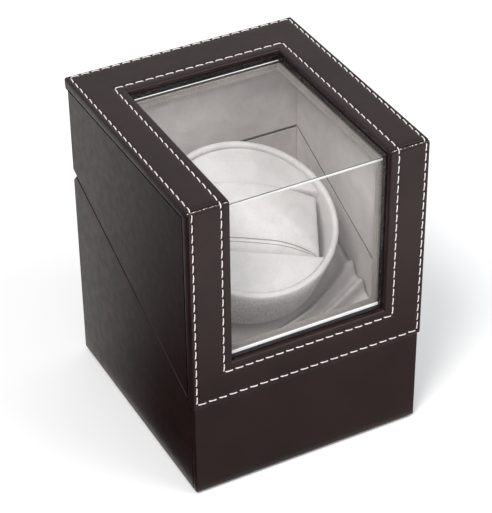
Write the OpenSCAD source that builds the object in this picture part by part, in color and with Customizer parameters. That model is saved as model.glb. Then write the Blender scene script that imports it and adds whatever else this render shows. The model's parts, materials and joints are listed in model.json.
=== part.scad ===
// Watch winder box. A leather-covered lid with an L-shaped window closes on a velvet-lined
// base along a sloping seam, and a tilted rotor cup turns on a small gearmotor.
// Millimetres. The origin is the middle of the footprint, on the surface the box stands on.
// +Z is up, the window's front faces -Y, and +X is to the right seen from the front.

/* [Box] */
// Width over the face frame
box_w = 134; // [132:1:138]
// Depth over the face frame
box_d = 142; // [141:1:146]
// Height with the lid closed
box_h = 178; // [176:1:182]
// Height of the seam at the front face
seam_front_z = 57; // [56:0.5:59]
// Slope of the seam between lid and base, in degrees
seam_tilt = 24.5; // [24:0.25:25]
// Height of the foot pads
foot_h = 1.5; // [1:0.25:2]

/* [Boards and linings] */
// Thickness of the covered boards of lid and base
panel_t = 3.2; // [3:0.1:3.4]
// Thickness of the velvet-covered linings
liner_t = 1.3; // [1.2:0.1:1.5]
// Thickness of the face frame
frame_t = 6; // [5.5:0.5:6.5]
// How far the face frame stands proud of the boards behind it
overhang = 1; // [0.8:0.1:1.2]
// How far the base's lining stands up inside the lid, square to the seam
collar_h = 5; // [4:0.5:6]
// Gap between lid and base along the seam
seam_gap = 0.4; // [0.3:0.1:0.6]

/* [Window] */
// Width of the frame's posts beside the window
post_w = 23; // [22:0.5:24]
// Depth of the frame behind the window
back_rail = 28.5; // [28:0.5:30]
// Height of the frame below the window
bottom_rail = 23.7; // [23:0.1:25]
// Thickness of the clear panes
pane_t = 2; // [1.5:0.5:2.5]
// Thickness of the trim ring between frame and panes
trim_t = 3; // [2.5:0.5:3.5]
// Thickness of the frame that holds the panes from inside
retainer_t = 4.5; // [4:0.5:5]

/* [Rotor] */
// Outer radius of the rotor cup at its rim
cup_r = 48.8; // [47:0.1:49]
// Height of the rotor cup
cup_h = 32; // [30:1:33]
// Height of the rim above the seam, square to it
rim_h = 24.6; // [24:0.1:25]
// Where the rotor's axis meets the seam, behind the middle of the box
axis_y = 5.28; // [4.5:0.01:5.5]
// Thickness of the cup's wall
cup_wall = 3.3; // [3:0.1:3.5]
// How far the rotor has turned in its plane, in degrees
rotor_angle = -23.8; // [-180:0.1:180]
// Half the width of the channel between the pads
channel_half = 20.3; // [20:0.1:21]
// Half the length of the watch cushion
cushion_half = 37; // [35:0.5:38]
// Depth of the velvet platform below the seam, square to it
platform_depth = 20; // [19:0.5:21]

/* [Gearmotor] */
// Gear module
gear_m = 0.6; // [0.6]
// Teeth of each pinion
pinion_z = 10; // [10:1:11]
// Teeth of each wheel
wheel_z = 36; // [35:1:37]
// Width of the gear teeth
tooth_w = 2; // [1.8:0.1:2.1]
// Radius of the output shaft
shaft_r = 2; // [1.8:0.1:2]
// Radius of the motor's can
motor_r = 8.8; // [8.4:0.1:8.8]
// Length of the motor's can
motor_l = 22; // [20:1:24]

/* [Hardware] */
// Radius of the hinge knuckles
knuckle_r = 1.7; // [1.6:0.1:1.7]
// Radius of the hinge pins
pin_r = 0.8; // [0.7:0.1:0.9]
// Length of each hinge
hinge_l = 26; // [24:1:30]
// Distance of each hinge from the middle
hinge_x = 38; // [34:1:42]
// Radius of the power socket's bore
jack_bore_r = 2.8; // [2.75:0.05:2.85]
// Radius of the power socket's centre pin
jack_pin_r = 1; // [1:0.05:1.05]

/* [Hidden] */
$fn = 64;

espresso = [0.21, 0.16, 0.15];
dark_trim = [0.12, 0.09, 0.09];
taupe = [0.48, 0.44, 0.41];
velvet = [0.80, 0.78, 0.76];
bare_wood = [0.72, 0.58, 0.42];
black_plastic = [0.08, 0.08, 0.09];
white_plastic = [0.90, 0.90, 0.87];
steel = [0.70, 0.71, 0.73];
brass_tone = [0.78, 0.62, 0.32];
clear = [0.85, 0.90, 0.92, 0.35];
board_green = [0.10, 0.35, 0.20];

// Larger than anything here, for half spaces and cuts that run right through
far = 400;
half_w = box_w / 2;
half_d = box_d / 2;
side_out = half_w - overhang;       // outer face of the side boards
side_in = side_out - panel_t;       // inner face of the side boards
room_x = side_in - liner_t;         // velvet face of the side linings
back_out = half_d - overhang;       // outer face of the back boards
back_in = back_out - panel_t;
frame_z = box_h - frame_t;          // underside of the face frame's top
frame_y = -half_d + frame_t;        // back of the face frame's front
base_front_y = -half_d + overhang;  // outer face of the base's front board
room_back = 53.5;                   // velvet face of the back linings
rail_y = 58;                        // front of the lid's hinge rail
seal = seam_gap / 2;

// Height of the seam over a given depth
function seam_z(y) = seam_front_z + (y + half_d) * tan(seam_tilt);

win_x = half_w - post_w;
win_back = half_d - back_rail;
win_low = seam_front_z + bottom_rail;
trim_lap = 3;      // how far the trim ring reaches under the frame
trim_step = 0.8;   // how far the trim ring shows inside the frame's opening
pane_lap = 16;     // how far each pane runs past the opening, under the frame

// Lengths along the rotor's axis, square to the seam, from where the axis meets it
cup_floor = rim_h - cup_h;
cup_floor_t = 3;
cup_taper = 1.8;
platform_top = -platform_depth;
platform_t = 4;
platform_under = platform_top - platform_t;
cloth_t = 1;
cover_t = 2;
cavity_top = platform_under - cover_t;
layer_pitch = tooth_w + 0.6;
cavity_h = 4 * layer_pitch + 0.6;
cavity_floor = cavity_top - cavity_h;
case_floor = cavity_floor - 2;
running = 0.05;    // radial clearance of every shaft in its bearing
snug = 0.02;       // radial clearance of a fixed pin or screw

// Lowest face of gear layer n, from 1 next to the motor to 4 next to the platform
function layer_h(n) = cavity_floor + 0.4 + (n - 1) * layer_pitch;

// Gear axes stand at 60 degree steps on one circle around the output shaft
gear_d = gear_m * (pinion_z + wheel_z) / 2;
function gear_at(angle) = gear_d * [cos(angle), sin(angle)];
third_at = gear_at(0);
second_at = gear_at(60);
first_at = gear_at(120);
motor_at = gear_at(180);
pressure_angle = 25;
addendum = 0.8 * gear_m;
dedendum = 1.05 * gear_m;
backlash = 0.1;
flank_steps = 3;
axle_r = 1;
sleeve_r = 2.2;
end_play = 0.15;
motor_shaft_r = 0.75;

// Inside of the gearbox, seen along the axis
box_low = [-gear_d - 5.7, -wheel_z * gear_m / 2 - 1.7];
box_high = [gear_d + wheel_z * gear_m / 2 + 1.9, 24.5];
wall_t = 2;
post_r = 3;
post_inset = 1;
screw_r = 1.25;

// The hinge barrel lies on the seam, in the chamfer of the base's upper back edge
barrel_y = half_d - 0.1 - knuckle_r;
leaf_t = 1;
leaf_l = 8.5;
leaf_gap = 0.15;
hinge_screw_r = 1.1;
hinge_screw_v = -6;
hinge_screw_x = 8;
chamfer_y = 66;
chamfer_z = seam_z(back_out) - 6.2;
rail_h = 16;

// Electrical parts at the back
socket_z = 28;
jack_x = 34;
switch_x = 18;
cutout = [6, 46, 16, 40];            // x from, x to, z from, z to
plate_margin = 4;
plate_t = 1.5;
switch_w = 13.6;
switch_h = 19;
pivot_y = back_in - 2.3;
rocker_r = 7.4;
rocker_w = 9.6;
rocker_tilt = 10;
board_at = [-46, -52];
board_size = [42, 28, 1.6];
board_z = 11;

// ---------------------------------------------------------------- helpers

module board(x0, x1, y0, y1, z0, z1)
    translate([x0, y0, z0]) cube([x1 - x0, y1 - y0, z1 - z0]);

// Frame whose origin is where the rotor's axis meets the seam, with Z along the axis
module seam_frame()
    translate([0, axis_y, seam_z(axis_y)]) rotate([seam_tilt, 0, 0]) children();

module above_seam(h)
    seam_frame() translate([-far / 2, -far / 2, h]) cube(far);

module below_seam(h)
    seam_frame() translate([-far / 2, -far / 2, h - far]) cube(far);

// Frame on the hinge barrel's axis, with Y up the slope of the seam
module hinge_frame()
    translate([0, barrel_y, seam_z(barrel_y)]) rotate([seam_tilt, 0, 0]) children();

module at_each_hinge()
    for (side = [-1, 1]) translate([side * hinge_x, 0, 0]) children();

// Everything above the chamfer along the base's upper back edge
module chamfer_cut()
    translate([-far / 2, 0, 0]) rotate([90, 0, 90]) linear_extrude(far)
        polygon([[chamfer_y, seam_z(chamfer_y)], [back_out, chamfer_z], [back_out + 9, chamfer_z - 9],
            [back_out + 9, box_h], [chamfer_y, box_h]]);

module rounded_rect(low, high, r) {
    translate([low[0] + r, low[1]]) square([high[0] - low[0] - 2 * r, high[1] - low[1]]);
    translate([low[0], low[1] + r]) square([high[0] - low[0], high[1] - low[1] - 2 * r]);
    for (x = [low[0] + r, high[0] - r], y = [low[1] + r, high[1] - r]) translate([x, y]) circle(r);
}

// Rod or ring along the local Z, from height h0 to h1
module rod(r, h0, h1)
    translate([0, 0, h0]) cylinder(r = r, h = h1 - h0);

module ring(r_in, r_out, h0, h1)
    difference() {
        rod(r_out, h0, h1);
        rod(r_in, h0 - 1, h1 + 1);
    }

// ---------------------------------------------------------------- gears

// Angle, in degrees, by which an involute has turned when it reaches radius r
function involute_angle(rb, r) = r <= rb ? 0 : sqrt(pow(r / rb, 2) - 1) * 180 / PI - acos(rb / r);

// Half the angle that a tooth takes up at radius r
function tooth_half(z, r) =
    let (rp = gear_m * z / 2, rb = rp * cos(pressure_angle))
    90 / z - backlash / 4 / rp * 180 / PI + involute_angle(rb, rp) - involute_angle(rb, r);

// Radii of the points along one flank, from root to tip
function flank_radii(z) =
    let (rp = gear_m * z / 2, rb = rp * cos(pressure_angle), root = rp - dedendum, low = max(root, rb))
    concat(root < rb ? [root] : [],
        [for (i = [0:flank_steps]) low + (rp + addendum - low) * i / flank_steps]);

function gear_outline(z) =
    let (radii = flank_radii(z), last = len(radii) - 1)
    [for (k = [0:z - 1], i = [0:2 * last + 1])
        let (r = radii[i <= last ? i : 2 * last + 1 - i], side = i <= last ? -1 : 1,
            angle = 360 * k / z + side * tooth_half(z, r))
        r * [cos(angle), sin(angle)]];

// Gear with a tooth pointing along the angle "facing"
module spur(z, h0, h1, facing)
    translate([0, 0, h0]) rotate([0, 0, facing]) linear_extrude(h1 - h0) polygon(gear_outline(z));

// Direction from one axis to the next, and the wheel's turn that puts a gap towards its pinion
function heading(from, to) = atan2(to[1] - from[1], to[0] - from[0]);
function gap_towards(from, to) = heading(from, to) + 180 + 180 / wheel_z;

// Wheel in layer n and pinion in layer n + 1 on one sleeve that turns on its own axle
module compound_gear(n, before, here, after)
    color(white_plastic) seam_frame() translate(here) difference() {
        union() {
            spur(wheel_z, layer_h(n), layer_h(n) + tooth_w, gap_towards(before, here));
            spur(pinion_z, layer_h(n) + tooth_w / 2, layer_h(n + 1) + tooth_w, heading(here, after));
            rod(sleeve_r, cavity_floor + end_play, cavity_top - end_play);
        }
        rod(axle_r + running, cavity_floor - 1, cavity_top + 1);
    }

// ---------------------------------------------------------------- lid

// Solid of thickness t behind an L-shaped outer face, with the window cut out of it.
// depth is how far the outer face lies inside the face frame's outer face.
module window_layer(depth, t, x, back, low, open_x, open_back, open_low)
    difference() {
        union() {
            board(-x, x, -half_d + depth, back, box_h - depth - t, box_h - depth);
            board(-x, x, -half_d + depth, -half_d + depth + t, low, box_h - depth);
        }
        board(-open_x, open_x, -far, open_back, box_h - depth - t - 1, far);
        board(-open_x, open_x, -far, -half_d + depth + t + 1, open_low, far);
    }

module face_frame()
    color(espresso) intersection() {
        difference() {
            window_layer(0, frame_t, half_w, half_d, 0, win_x, win_back, win_low);
            board(-win_x - trim_lap, win_x + trim_lap, -half_d + frame_t - trim_t, win_back + trim_lap,
                frame_z - 1, frame_z + trim_t);
            board(-win_x - trim_lap, win_x + trim_lap, -half_d + frame_t - trim_t, frame_y + 1,
                win_low - trim_lap, frame_z + trim_t);
        }
        above_seam(seal);
    }

module window_trim()
    color(dark_trim)
        window_layer(frame_t - trim_t, trim_t, win_x + trim_lap, win_back + trim_lap, win_low - trim_lap,
            win_x - trim_step, win_back - trim_step, win_low + trim_step);

pane_x = win_x + pane_lap;
pane_low = win_low - 10.7;

module top_pane()
    color(clear) board(-pane_x, pane_x, frame_y, win_back + 6, frame_z - pane_t, frame_z);

module front_pane()
    color(clear) board(-pane_x, pane_x, frame_y, frame_y + pane_t, pane_low, frame_z - pane_t);

module pane_retainer()
    color(taupe)
        window_layer(frame_t + pane_t, retainer_t, side_in, rail_y, win_low - 11,
            win_x - trim_step, win_back - trim_step, win_low + trim_step);

retainer_z = frame_z - pane_t - retainer_t;
retainer_y = frame_y + pane_t + retainer_t;
lid_liner_h = collar_h + seam_gap;

module lid_side_panel(side)
    color(espresso) intersection() {
        board(min(side * side_in, side * side_out), max(side * side_in, side * side_out),
            frame_y, back_out, 0, frame_z);
        above_seam(seal);
    }

module lid_left_panel() lid_side_panel(-1);
module lid_right_panel() lid_side_panel(1);

// Room for a closed hinge: its barrel and the leaf on this side of the seam
module hinge_pocket(side)
    hinge_frame() at_each_hinge() {
        rotate([0, 90, 0]) rod(knuckle_r + 0.4, -hinge_l / 2 - 0.3, hinge_l / 2 + 0.3);
        translate([-hinge_l / 2 - 0.1, -leaf_l - knuckle_r - 0.1, side > 0 ? 0 : -leaf_gap - leaf_t])
            cube([hinge_l + 0.2, leaf_l + knuckle_r + 3, leaf_gap + leaf_t]);
        for (x = [-hinge_screw_x, hinge_screw_x]) translate([x, hinge_screw_v, 0])
            rod(hinge_screw_r + snug, min(0, side * 10), max(0, side * 10));
    }

module lid_back_panel()
    color(espresso) difference() {
        intersection() {
            board(-side_in, side_in, back_in, back_out, 0, frame_z);
            above_seam(seal);
        }
        hinge_pocket(1);
    }

module lid_side_liner(side)
    color(velvet) intersection() {
        board(min(side * room_x, side * side_in), max(side * room_x, side * side_in),
            retainer_y, room_back, 0, retainer_z);
        above_seam(lid_liner_h);
    }

module lid_left_liner() lid_side_liner(-1);
module lid_right_liner() lid_side_liner(1);

module lid_back_liner()
    color(velvet) intersection() {
        board(-side_in, side_in, room_back, rail_y, 0, retainer_z);
        above_seam(lid_liner_h);
    }

module lid_hinge_rail()
    color(bare_wood) difference() {
        intersection() {
            board(-side_in, side_in, rail_y, back_in, 0, frame_z);
            above_seam(seal);
            below_seam(rail_h);
        }
        hinge_pocket(1);
    }

// Leaves of both hinges on one side of the seam: plate, countersunk holes and knuckles
module hinge_leaf(side, knuckles)
    difference() {
        union() {
            translate([-hinge_l / 2, -leaf_l - knuckle_r, side > 0 ? leaf_gap : -leaf_gap - leaf_t])
                cube([hinge_l, leaf_l - 0.3, leaf_t]);
            for (k = knuckles) {
                translate([k[0], -knuckle_r - 0.5, side > 0 ? leaf_gap : -leaf_gap - leaf_t])
                    cube([k[1] - k[0], knuckle_r + 0.5, leaf_t]);
                rotate([0, 90, 0]) rod(knuckle_r, k[0], k[1]);
            }
        }
        rotate([0, 90, 0]) rod(pin_r + running, -hinge_l, hinge_l);
        for (x = [-hinge_screw_x, hinge_screw_x]) translate([x, hinge_screw_v, side * leaf_gap])
            rotate([side > 0 ? 0 : 180, 0, 0]) countersunk_screw(snug);
    }

module countersunk_screw(extra) {
    cylinder(r1 = 2 + extra, r2 = hinge_screw_r + extra, h = leaf_t * 0.9);
    rod(hinge_screw_r + extra, 0, 8);
}

knuckle_split = hinge_l / 6;

module lid_hinge_leaves()
    color(brass_tone) hinge_frame() at_each_hinge()
        hinge_leaf(1, [[-knuckle_split, knuckle_split]]);

module hinge_screws(side)
    color(brass_tone) hinge_frame() at_each_hinge()
        for (x = [-hinge_screw_x, hinge_screw_x]) translate([x, hinge_screw_v, side * leaf_gap])
            rotate([side > 0 ? 0 : 180, 0, 0]) countersunk_screw(0);

module lid_hinge_screws() hinge_screws(1);

// ---------------------------------------------------------------- base

module base_side_panel(side)
    color(espresso) difference() {
        intersection() {
            board(min(side * side_in, side * side_out), max(side * side_in, side * side_out),
                base_front_y + panel_t, back_out, foot_h, box_h);
            below_seam(-seal);
        }
        chamfer_cut();
    }

module base_left_panel() base_side_panel(-1);
module base_right_panel() base_side_panel(1);

module base_front_panel()
    color(espresso) intersection() {
        board(-side_out, side_out, base_front_y, base_front_y + panel_t, foot_h, box_h);
        below_seam(-seal);
    }

module base_back_panel()
    color(espresso) difference() {
        intersection() {
            board(-side_in, side_in, back_in, back_out, foot_h, box_h);
            below_seam(-seal);
        }
        chamfer_cut();
        hinge_pocket(-1);
        board(cutout[0], cutout[1], back_in - 1, back_out + 1, cutout[2], cutout[3]);
    }

module base_bottom_panel()
    color(bare_wood) board(-side_in, side_in, base_front_y + panel_t, back_in, foot_h, foot_h + 4);

collar_play = 0.3;

// Where the base's linings may be: under the seam, and inside the lid's boards above it
module lining_room() {
    below_seam(-seal);
    intersection() {
        board(-side_in + collar_play, side_in - collar_play, frame_y + collar_play, far, 0, box_h);
        below_seam(collar_h);
    }
}

module base_liner(x0, x1, y0, y1)
    color(velvet) intersection() {
        board(x0, x1, y0, y1, 0, box_h);
        lining_room();
        above_seam(platform_under);
    }

liner_front = base_front_y + panel_t;
room_front = frame_y + collar_play + liner_t;
liner_back = room_back + liner_t;

module base_left_liner() base_liner(-side_in, -room_x, liner_front, liner_back);
module base_right_liner() base_liner(room_x, side_in, liner_front, liner_back);
module base_front_liner() base_liner(-room_x, room_x, liner_front, room_front);
module base_back_liner() base_liner(-room_x, room_x, room_back, liner_back);

module base_hinge_rail()
    color(bare_wood) difference() {
        intersection() {
            board(-side_in, side_in, liner_back, back_in, 0, box_h);
            below_seam(-seal);
            above_seam(-rail_h);
        }
        chamfer_cut();
        hinge_pocket(-1);
    }

module base_hinge_leaves()
    color(brass_tone) hinge_frame() at_each_hinge()
        hinge_leaf(-1, [[-hinge_l / 2, -knuckle_split - 0.2], [knuckle_split + 0.2, hinge_l / 2]]);

module base_hinge_screws() hinge_screws(-1);

module hinge_pins()
    color(steel) hinge_frame() at_each_hinge()
        rotate([0, 90, 0]) rod(pin_r, -hinge_l / 2, hinge_l / 2);

fit_gap = 0.2;
shaft_hole_r = 5;

module gearbox_corners()
    for (x = [box_low[0] + post_inset, box_high[0] - post_inset],
        y = [box_low[1] + post_inset, box_high[1] - post_inset])
        translate([x, y]) children();

module platform()
    color(velvet) difference() {
        intersection() {
            board(-room_x + fit_gap, room_x - fit_gap, room_front + fit_gap, room_back - fit_gap, 0, box_h);
            seam_frame() translate([-far / 2, -far / 2, platform_under]) cube([far, far, platform_t]);
        }
        seam_frame() rod(shaft_hole_r, platform_under - 1, platform_top + 1);
        seam_frame() gearbox_corners() rod(screw_r + snug, platform_under - 1, platform_top - 1);
    }

module platform_cloth()
    color(velvet) difference() {
        intersection() {
            board(-room_x + fit_gap, room_x - fit_gap, room_front + fit_gap, room_back - fit_gap, 0, box_h);
            seam_frame() translate([-far / 2, -far / 2, platform_top]) cube([far, far, cloth_t]);
        }
        seam_frame() rod(shaft_hole_r, platform_top - 1, platform_top + cloth_t + 1);
    }

module platform_cleats()
    color(bare_wood) intersection() {
        board(-side_in, side_in, liner_front, room_back, 0, box_h);
        seam_frame() for (side = [-1, 1])
            translate([side * (side_in - 3.5) - 3.5, -far / 2, platform_under - 6]) cube([7, far, 6]);
    }

module foot_pads()
    color(black_plastic) for (x = [-52, 52], y = [-56, 56]) translate([x, y]) rod(6, 0, foot_h);

// ---------------------------------------------------------------- gearmotor

module gearbox_outline(grow)
    rounded_rect(box_low - [grow, grow], box_high + [grow, grow], post_r + grow - post_inset);

module gearbox_case()
    color(white_plastic) seam_frame() difference() {
        union() {
            difference() {
                translate([0, 0, case_floor]) linear_extrude(cavity_top - case_floor) gearbox_outline(wall_t);
                translate([0, 0, cavity_floor]) linear_extrude(cavity_h + 1) gearbox_outline(0);
            }
            gearbox_corners() rod(post_r, case_floor, cavity_top);
            translate(motor_at) ring(motor_r + snug, motor_r + 1, case_floor - 5, case_floor);
        }
        for (at = [first_at, second_at, third_at])
            translate(at) rod(axle_r + snug, case_floor + 0.5, cavity_top);
        translate(motor_at) rod(motor_shaft_r + 0.4, case_floor - 1, cavity_top);
        rod(shaft_r + running, case_floor - 1, cavity_floor + 1);
        gearbox_corners() rod(screw_r + snug, case_floor - 1, cavity_top + 1);
    }

module gearbox_cover()
    color(white_plastic) seam_frame() difference() {
        translate([0, 0, cavity_top]) linear_extrude(cover_t) gearbox_outline(wall_t);
        for (at = [first_at, second_at, third_at])
            translate(at) rod(axle_r + snug, cavity_top - 1, platform_under - 0.5);
        rod(3.5 + snug, cavity_top - 1, platform_under + 1);
        gearbox_corners() rod(screw_r + snug, cavity_top - 1, platform_under + 1);
    }

module gearbox_screws()
    color(steel) seam_frame() gearbox_corners() {
        rod(screw_r, case_floor, platform_top - 1.2);
        rod(2.4, case_floor - 1.6, case_floor);
    }

module gear_axles()
    color(steel) seam_frame()
        for (at = [first_at, second_at, third_at])
            translate(at) rod(axle_r, case_floor + 0.6, platform_under - 0.6);

module output_bush()
    color(brass_tone) seam_frame() {
        ring(shaft_r + running, 3.5, cavity_top, platform_under + 2);
        ring(3.5, 4.6, platform_under, platform_under + 0.8);
    }

module motor_can()
    color(steel) seam_frame() translate(motor_at) difference() {
        rod(motor_r, case_floor - motor_l, case_floor);
        rod(motor_r - 0.8, case_floor - motor_l - 1, case_floor - 0.8);
        rod(motor_shaft_r + running, case_floor - 1, case_floor + 1);
    }

module motor_magnets()
    color(black_plastic) seam_frame() translate(motor_at) difference() {
        ring(motor_r - 2.4, motor_r - 0.8 - snug, case_floor - motor_l + 5, case_floor - 3);
        translate([-far / 2, -2, -far / 2]) cube([far, 4, far]);
    }

module motor_end_cap()
    color(black_plastic) seam_frame() translate(motor_at) {
        ring(motor_shaft_r + running, motor_r - 0.8 - snug, case_floor - motor_l, case_floor - motor_l + 2);
        for (x = [-5, 5]) translate([x - 1, -0.4, case_floor - motor_l - 4]) cube([2, 0.8, 4]);
    }

module motor_pinion()
    color(brass_tone) seam_frame() translate(motor_at) difference() {
        spur(pinion_z, layer_h(1), layer_h(1) + tooth_w, heading(motor_at, first_at));
        rod(motor_shaft_r, layer_h(1) - 1, layer_h(1) + tooth_w + 1);
    }

module motor_armature()
    color(brass_tone) seam_frame() translate(motor_at) {
        rod(motor_shaft_r, case_floor - motor_l + 0.3, layer_h(1) + tooth_w);
        difference() {
            rod(motor_r - 3, case_floor - motor_l + 6, case_floor - 4);
            for (k = [0:4]) rotate([0, 0, 72 * k]) translate([4, -0.8, -far / 2]) cube([4, 1.6, far]);
        }
        rod(2.6, case_floor - motor_l + 2.5, case_floor - motor_l + 6);
    }

module first_gear() compound_gear(1, motor_at, first_at, second_at);
module second_gear() compound_gear(2, first_at, second_at, third_at);
module third_gear() compound_gear(3, second_at, third_at, [0, 0]);

module output_gear()
    color(white_plastic) seam_frame() difference() {
        union() {
            spur(wheel_z, layer_h(4), layer_h(4) + tooth_w, gap_towards(third_at, [0, 0]));
            rod(4, layer_h(4), cavity_top - end_play);
        }
        rod(shaft_r, layer_h(4) - 1, cavity_top);
    }

// ---------------------------------------------------------------- rotor

hub_low = platform_top + 2.5;
shaft_top = cup_floor - 1.6;

module rotor_frame()
    seam_frame() rotate([0, 0, rotor_angle]) children();

module output_shaft()
    color(steel) seam_frame() difference() {
        rod(shaft_r, case_floor + 0.2, shaft_top);
        rod(screw_r - 0.25, shaft_top - 9, shaft_top + 1);
    }

module rotor_hub()
    color(white_plastic) seam_frame() difference() {
        union() {
            rod(8, hub_low, cup_floor);
            rod(18, cup_floor - 2.4, cup_floor);
        }
        rod(shaft_r, hub_low - 1, shaft_top);
        rod(screw_r - 0.25, shaft_top - 1, cup_floor + 1);
    }

module hub_screw()
    color(steel) seam_frame() {
        rod(screw_r - 0.25, shaft_top - 8, cup_floor + cup_floor_t);
        rod(2.4, cup_floor + cup_floor_t - 1.2, cup_floor + cup_floor_t);
    }

cup_chamfer = 1.5;
lip_h = rim_h - cup_wall / 2;

// Radius of the cup's outer face at height h
function cup_at(h) = cup_r - cup_taper * (rim_h - h) / cup_h;

module rotor_cup()
    color(velvet) seam_frame() difference() {
        union() {
            rotate_extrude($fn = 96) polygon([
                [0, cup_floor],
                [cup_at(cup_floor) - cup_chamfer, cup_floor],
                [cup_at(cup_floor + cup_chamfer), cup_floor + cup_chamfer],
                [cup_at(lip_h), lip_h],
                [cup_at(lip_h) - cup_wall, lip_h],
                [cup_at(cup_floor) - cup_wall, cup_floor + cup_floor_t],
                [0, cup_floor + cup_floor_t]]);
            rotate_extrude($fn = 96) translate([cup_at(lip_h) - cup_wall / 2, lip_h])
                circle(cup_wall / 2, $fn = 24);
        }
        rod(screw_r - 0.25, cup_floor - 1, cup_floor + cup_floor_t + 1);
        rod(2.4 + snug, cup_floor + cup_floor_t - 1.2, cup_floor + cup_floor_t + 1);
    }

pad_low = cup_floor + cup_floor_t;
pad_top = rim_h - 1;
pad_play = 0.15;

module half_moon(side)
    color(velvet) rotor_frame() intersection() {
        translate([0, 0, pad_low]) cylinder(r1 = cup_at(cup_floor) - cup_wall - pad_play,
            r2 = cup_at(pad_top) - cup_wall - pad_play, h = pad_top - pad_low, $fn = 96);
        translate([-far / 2, side > 0 ? channel_half : -far - channel_half, -far / 2]) cube(far);
    }

module upper_pad() half_moon(1);
module lower_pad() half_moon(-1);

// Plain body of the cushion: a block under a hipped crown, whose top lies off to the upper side
cushion_w = channel_half - 0.3;
cushion_play = 0.3;
cushion_edge = 1;
cushion_shoulder = 6;
seam_drop = 4;
crown_half = 6;
crown_off = 8.5;
crown_w = 11;
crown_h = 8.6;

module watch_cushion()
    color(velvet) rotor_frame() hull() {
        translate([cushion_edge - cushion_half, cushion_edge - cushion_w, pad_low + cushion_play])
            cube([2 * (cushion_half - cushion_edge), 2 * (cushion_w - cushion_edge), 1]);
        translate([-cushion_half, -cushion_w, pad_low + cushion_shoulder])
            cube([2 * cushion_half, 2 * cushion_w, rim_h - seam_drop - pad_low - cushion_shoulder]);
        translate([-crown_half, crown_off - crown_w / 2, rim_h + crown_h - 1])
            cube([2 * crown_half, crown_w, 1]);
    }

// ---------------------------------------------------------------- electrical parts

module control_board()
    color(board_green) {
        translate([board_at[0], board_at[1], board_z]) cube(board_size);
        translate([board_at[0] + 6, board_at[1] + 8, board_z]) cube([10, 6, 3.4]);
        translate([board_at[0] + 24, board_at[1] + 10, board_z]) rod(4, 1, 11);
        translate([board_at[0] + 30, board_at[1] + 16, board_z]) cube([8, 8, 8]);
        translate([board_at[0] + 6, board_at[1] + 18, board_z]) cube([15, 7, 8]);
    }

module board_corners()
    for (x = [3, board_size[0] - 3], y = [3, board_size[1] - 3])
        translate([board_at[0] + x, board_at[1] + y, 0]) children();

module board_standoffs()
    color(brass_tone) board_corners() {
        rod(2.4, foot_h + 4, board_z);
    }

module connector_plate()
    color(black_plastic) difference() {
        board(cutout[0] - plate_margin, cutout[1] + plate_margin, back_in - plate_t, back_in,
            cutout[2] - plate_margin, cutout[3] + plate_margin);
        translate([jack_x, 0, socket_z]) rotate([-90, 0, 0]) rod(4 + snug, back_in - 3, back_in + 1);
        board(switch_x - switch_w / 2 + 0.8, switch_x + switch_w / 2 - 0.8, back_in - 3, back_in + 1,
            socket_z - switch_h / 2 + 0.8, socket_z + switch_h / 2 - 0.8);
    }

jack_mouth = back_in + 2.7;
jack_deep = 9;

module dc_jack()
    color(black_plastic) translate([jack_x, 0, socket_z]) rotate([-90, 0, 0]) {
        difference() {
            union() {
                rod(4, back_in - plate_t - 7, jack_mouth);
                rod(5.5, back_in - plate_t - 1.5, back_in - plate_t);
                translate([0, 0, back_in]) cylinder(r = 5.8, h = 2, $fn = 6);
            }
            rod(jack_bore_r, jack_mouth - jack_deep, jack_mouth + 1);
        }
        rod(jack_pin_r, jack_mouth - jack_deep - 1, jack_mouth - 0.7);
        for (x = [-2.5, 2.5]) translate([x - 1, -0.3, back_in - plate_t - 11]) cube([2, 0.6, 5]);
    }

module rocker_frame()
    translate([switch_x, pivot_y, socket_z]) children();

module switch_housing()
    color(black_plastic) difference() {
        union() {
            board(switch_x - switch_w / 2, switch_x + switch_w / 2, back_in, back_in + 1.2,
                socket_z - switch_h / 2, socket_z + switch_h / 2);
            board(switch_x - switch_w / 2 + 0.9, switch_x + switch_w / 2 - 0.9, back_in - 12, back_in,
                socket_z - switch_h / 2 + 0.9, socket_z + switch_h / 2 - 0.9);
            for (x = [-3, 3]) translate([switch_x + x - 1, back_in - 17, socket_z - 0.4]) cube([2, 6, 0.8]);
        }
        rocker_frame() rotate([0, 90, 0]) rod(rocker_r + 0.3, -rocker_w / 2 - 0.2, rocker_w / 2 + 0.2);
        board(switch_x - rocker_w / 2 - 0.2, switch_x + rocker_w / 2 + 0.2, pivot_y, back_out,
            socket_z - rocker_r - 0.3, socket_z + rocker_r + 0.3);
        rocker_frame() rotate([0, 90, 0]) rod(0.8 + running, -rocker_w / 2 - 1.1, rocker_w / 2 + 1.1);
    }

// Rocker with a shallow V outer face, at rest with its upper end pressed in
module switch_rocker()
    color(black_plastic) rocker_frame() rotate([rocker_tilt, 0, 0]) {
        intersection() {
            rotate([0, 90, 0]) rod(rocker_r, -rocker_w / 2, rocker_w / 2);
            translate([-rocker_w / 2, 0, 0]) rotate([90, 0, 90]) linear_extrude(rocker_w)
                polygon([[-2, -8], [4.6, -8], [3.6, 0], [4.6, 8], [-2, 8]]);
        }
        rotate([0, 90, 0]) rod(0.8, -rocker_w / 2 - 0.9, rocker_w / 2 + 0.9);
    }

// Wire: a round tube swept along a smooth curve through the points of its route
wire_r = 0.7;
wire_sides = 8;
wire_steps = 6;

function curve_at(p, i, t) =
    let (a = p[max(i - 1, 0)], b = p[i], c = p[i + 1], d = p[min(i + 2, len(p) - 1)])
    0.5 * (2 * b + (c - a) * t + (2 * a - 5 * b + 4 * c - d) * t * t + (3 * b - a - 3 * c + d) * t * t * t);

function smooth_route(p) =
    concat([for (i = [0:len(p) - 2], k = [0:wire_steps - 1]) curve_at(p, i, k / wire_steps)],
        [p[len(p) - 1]]);

function unit(v) = v / norm(v);

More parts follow.
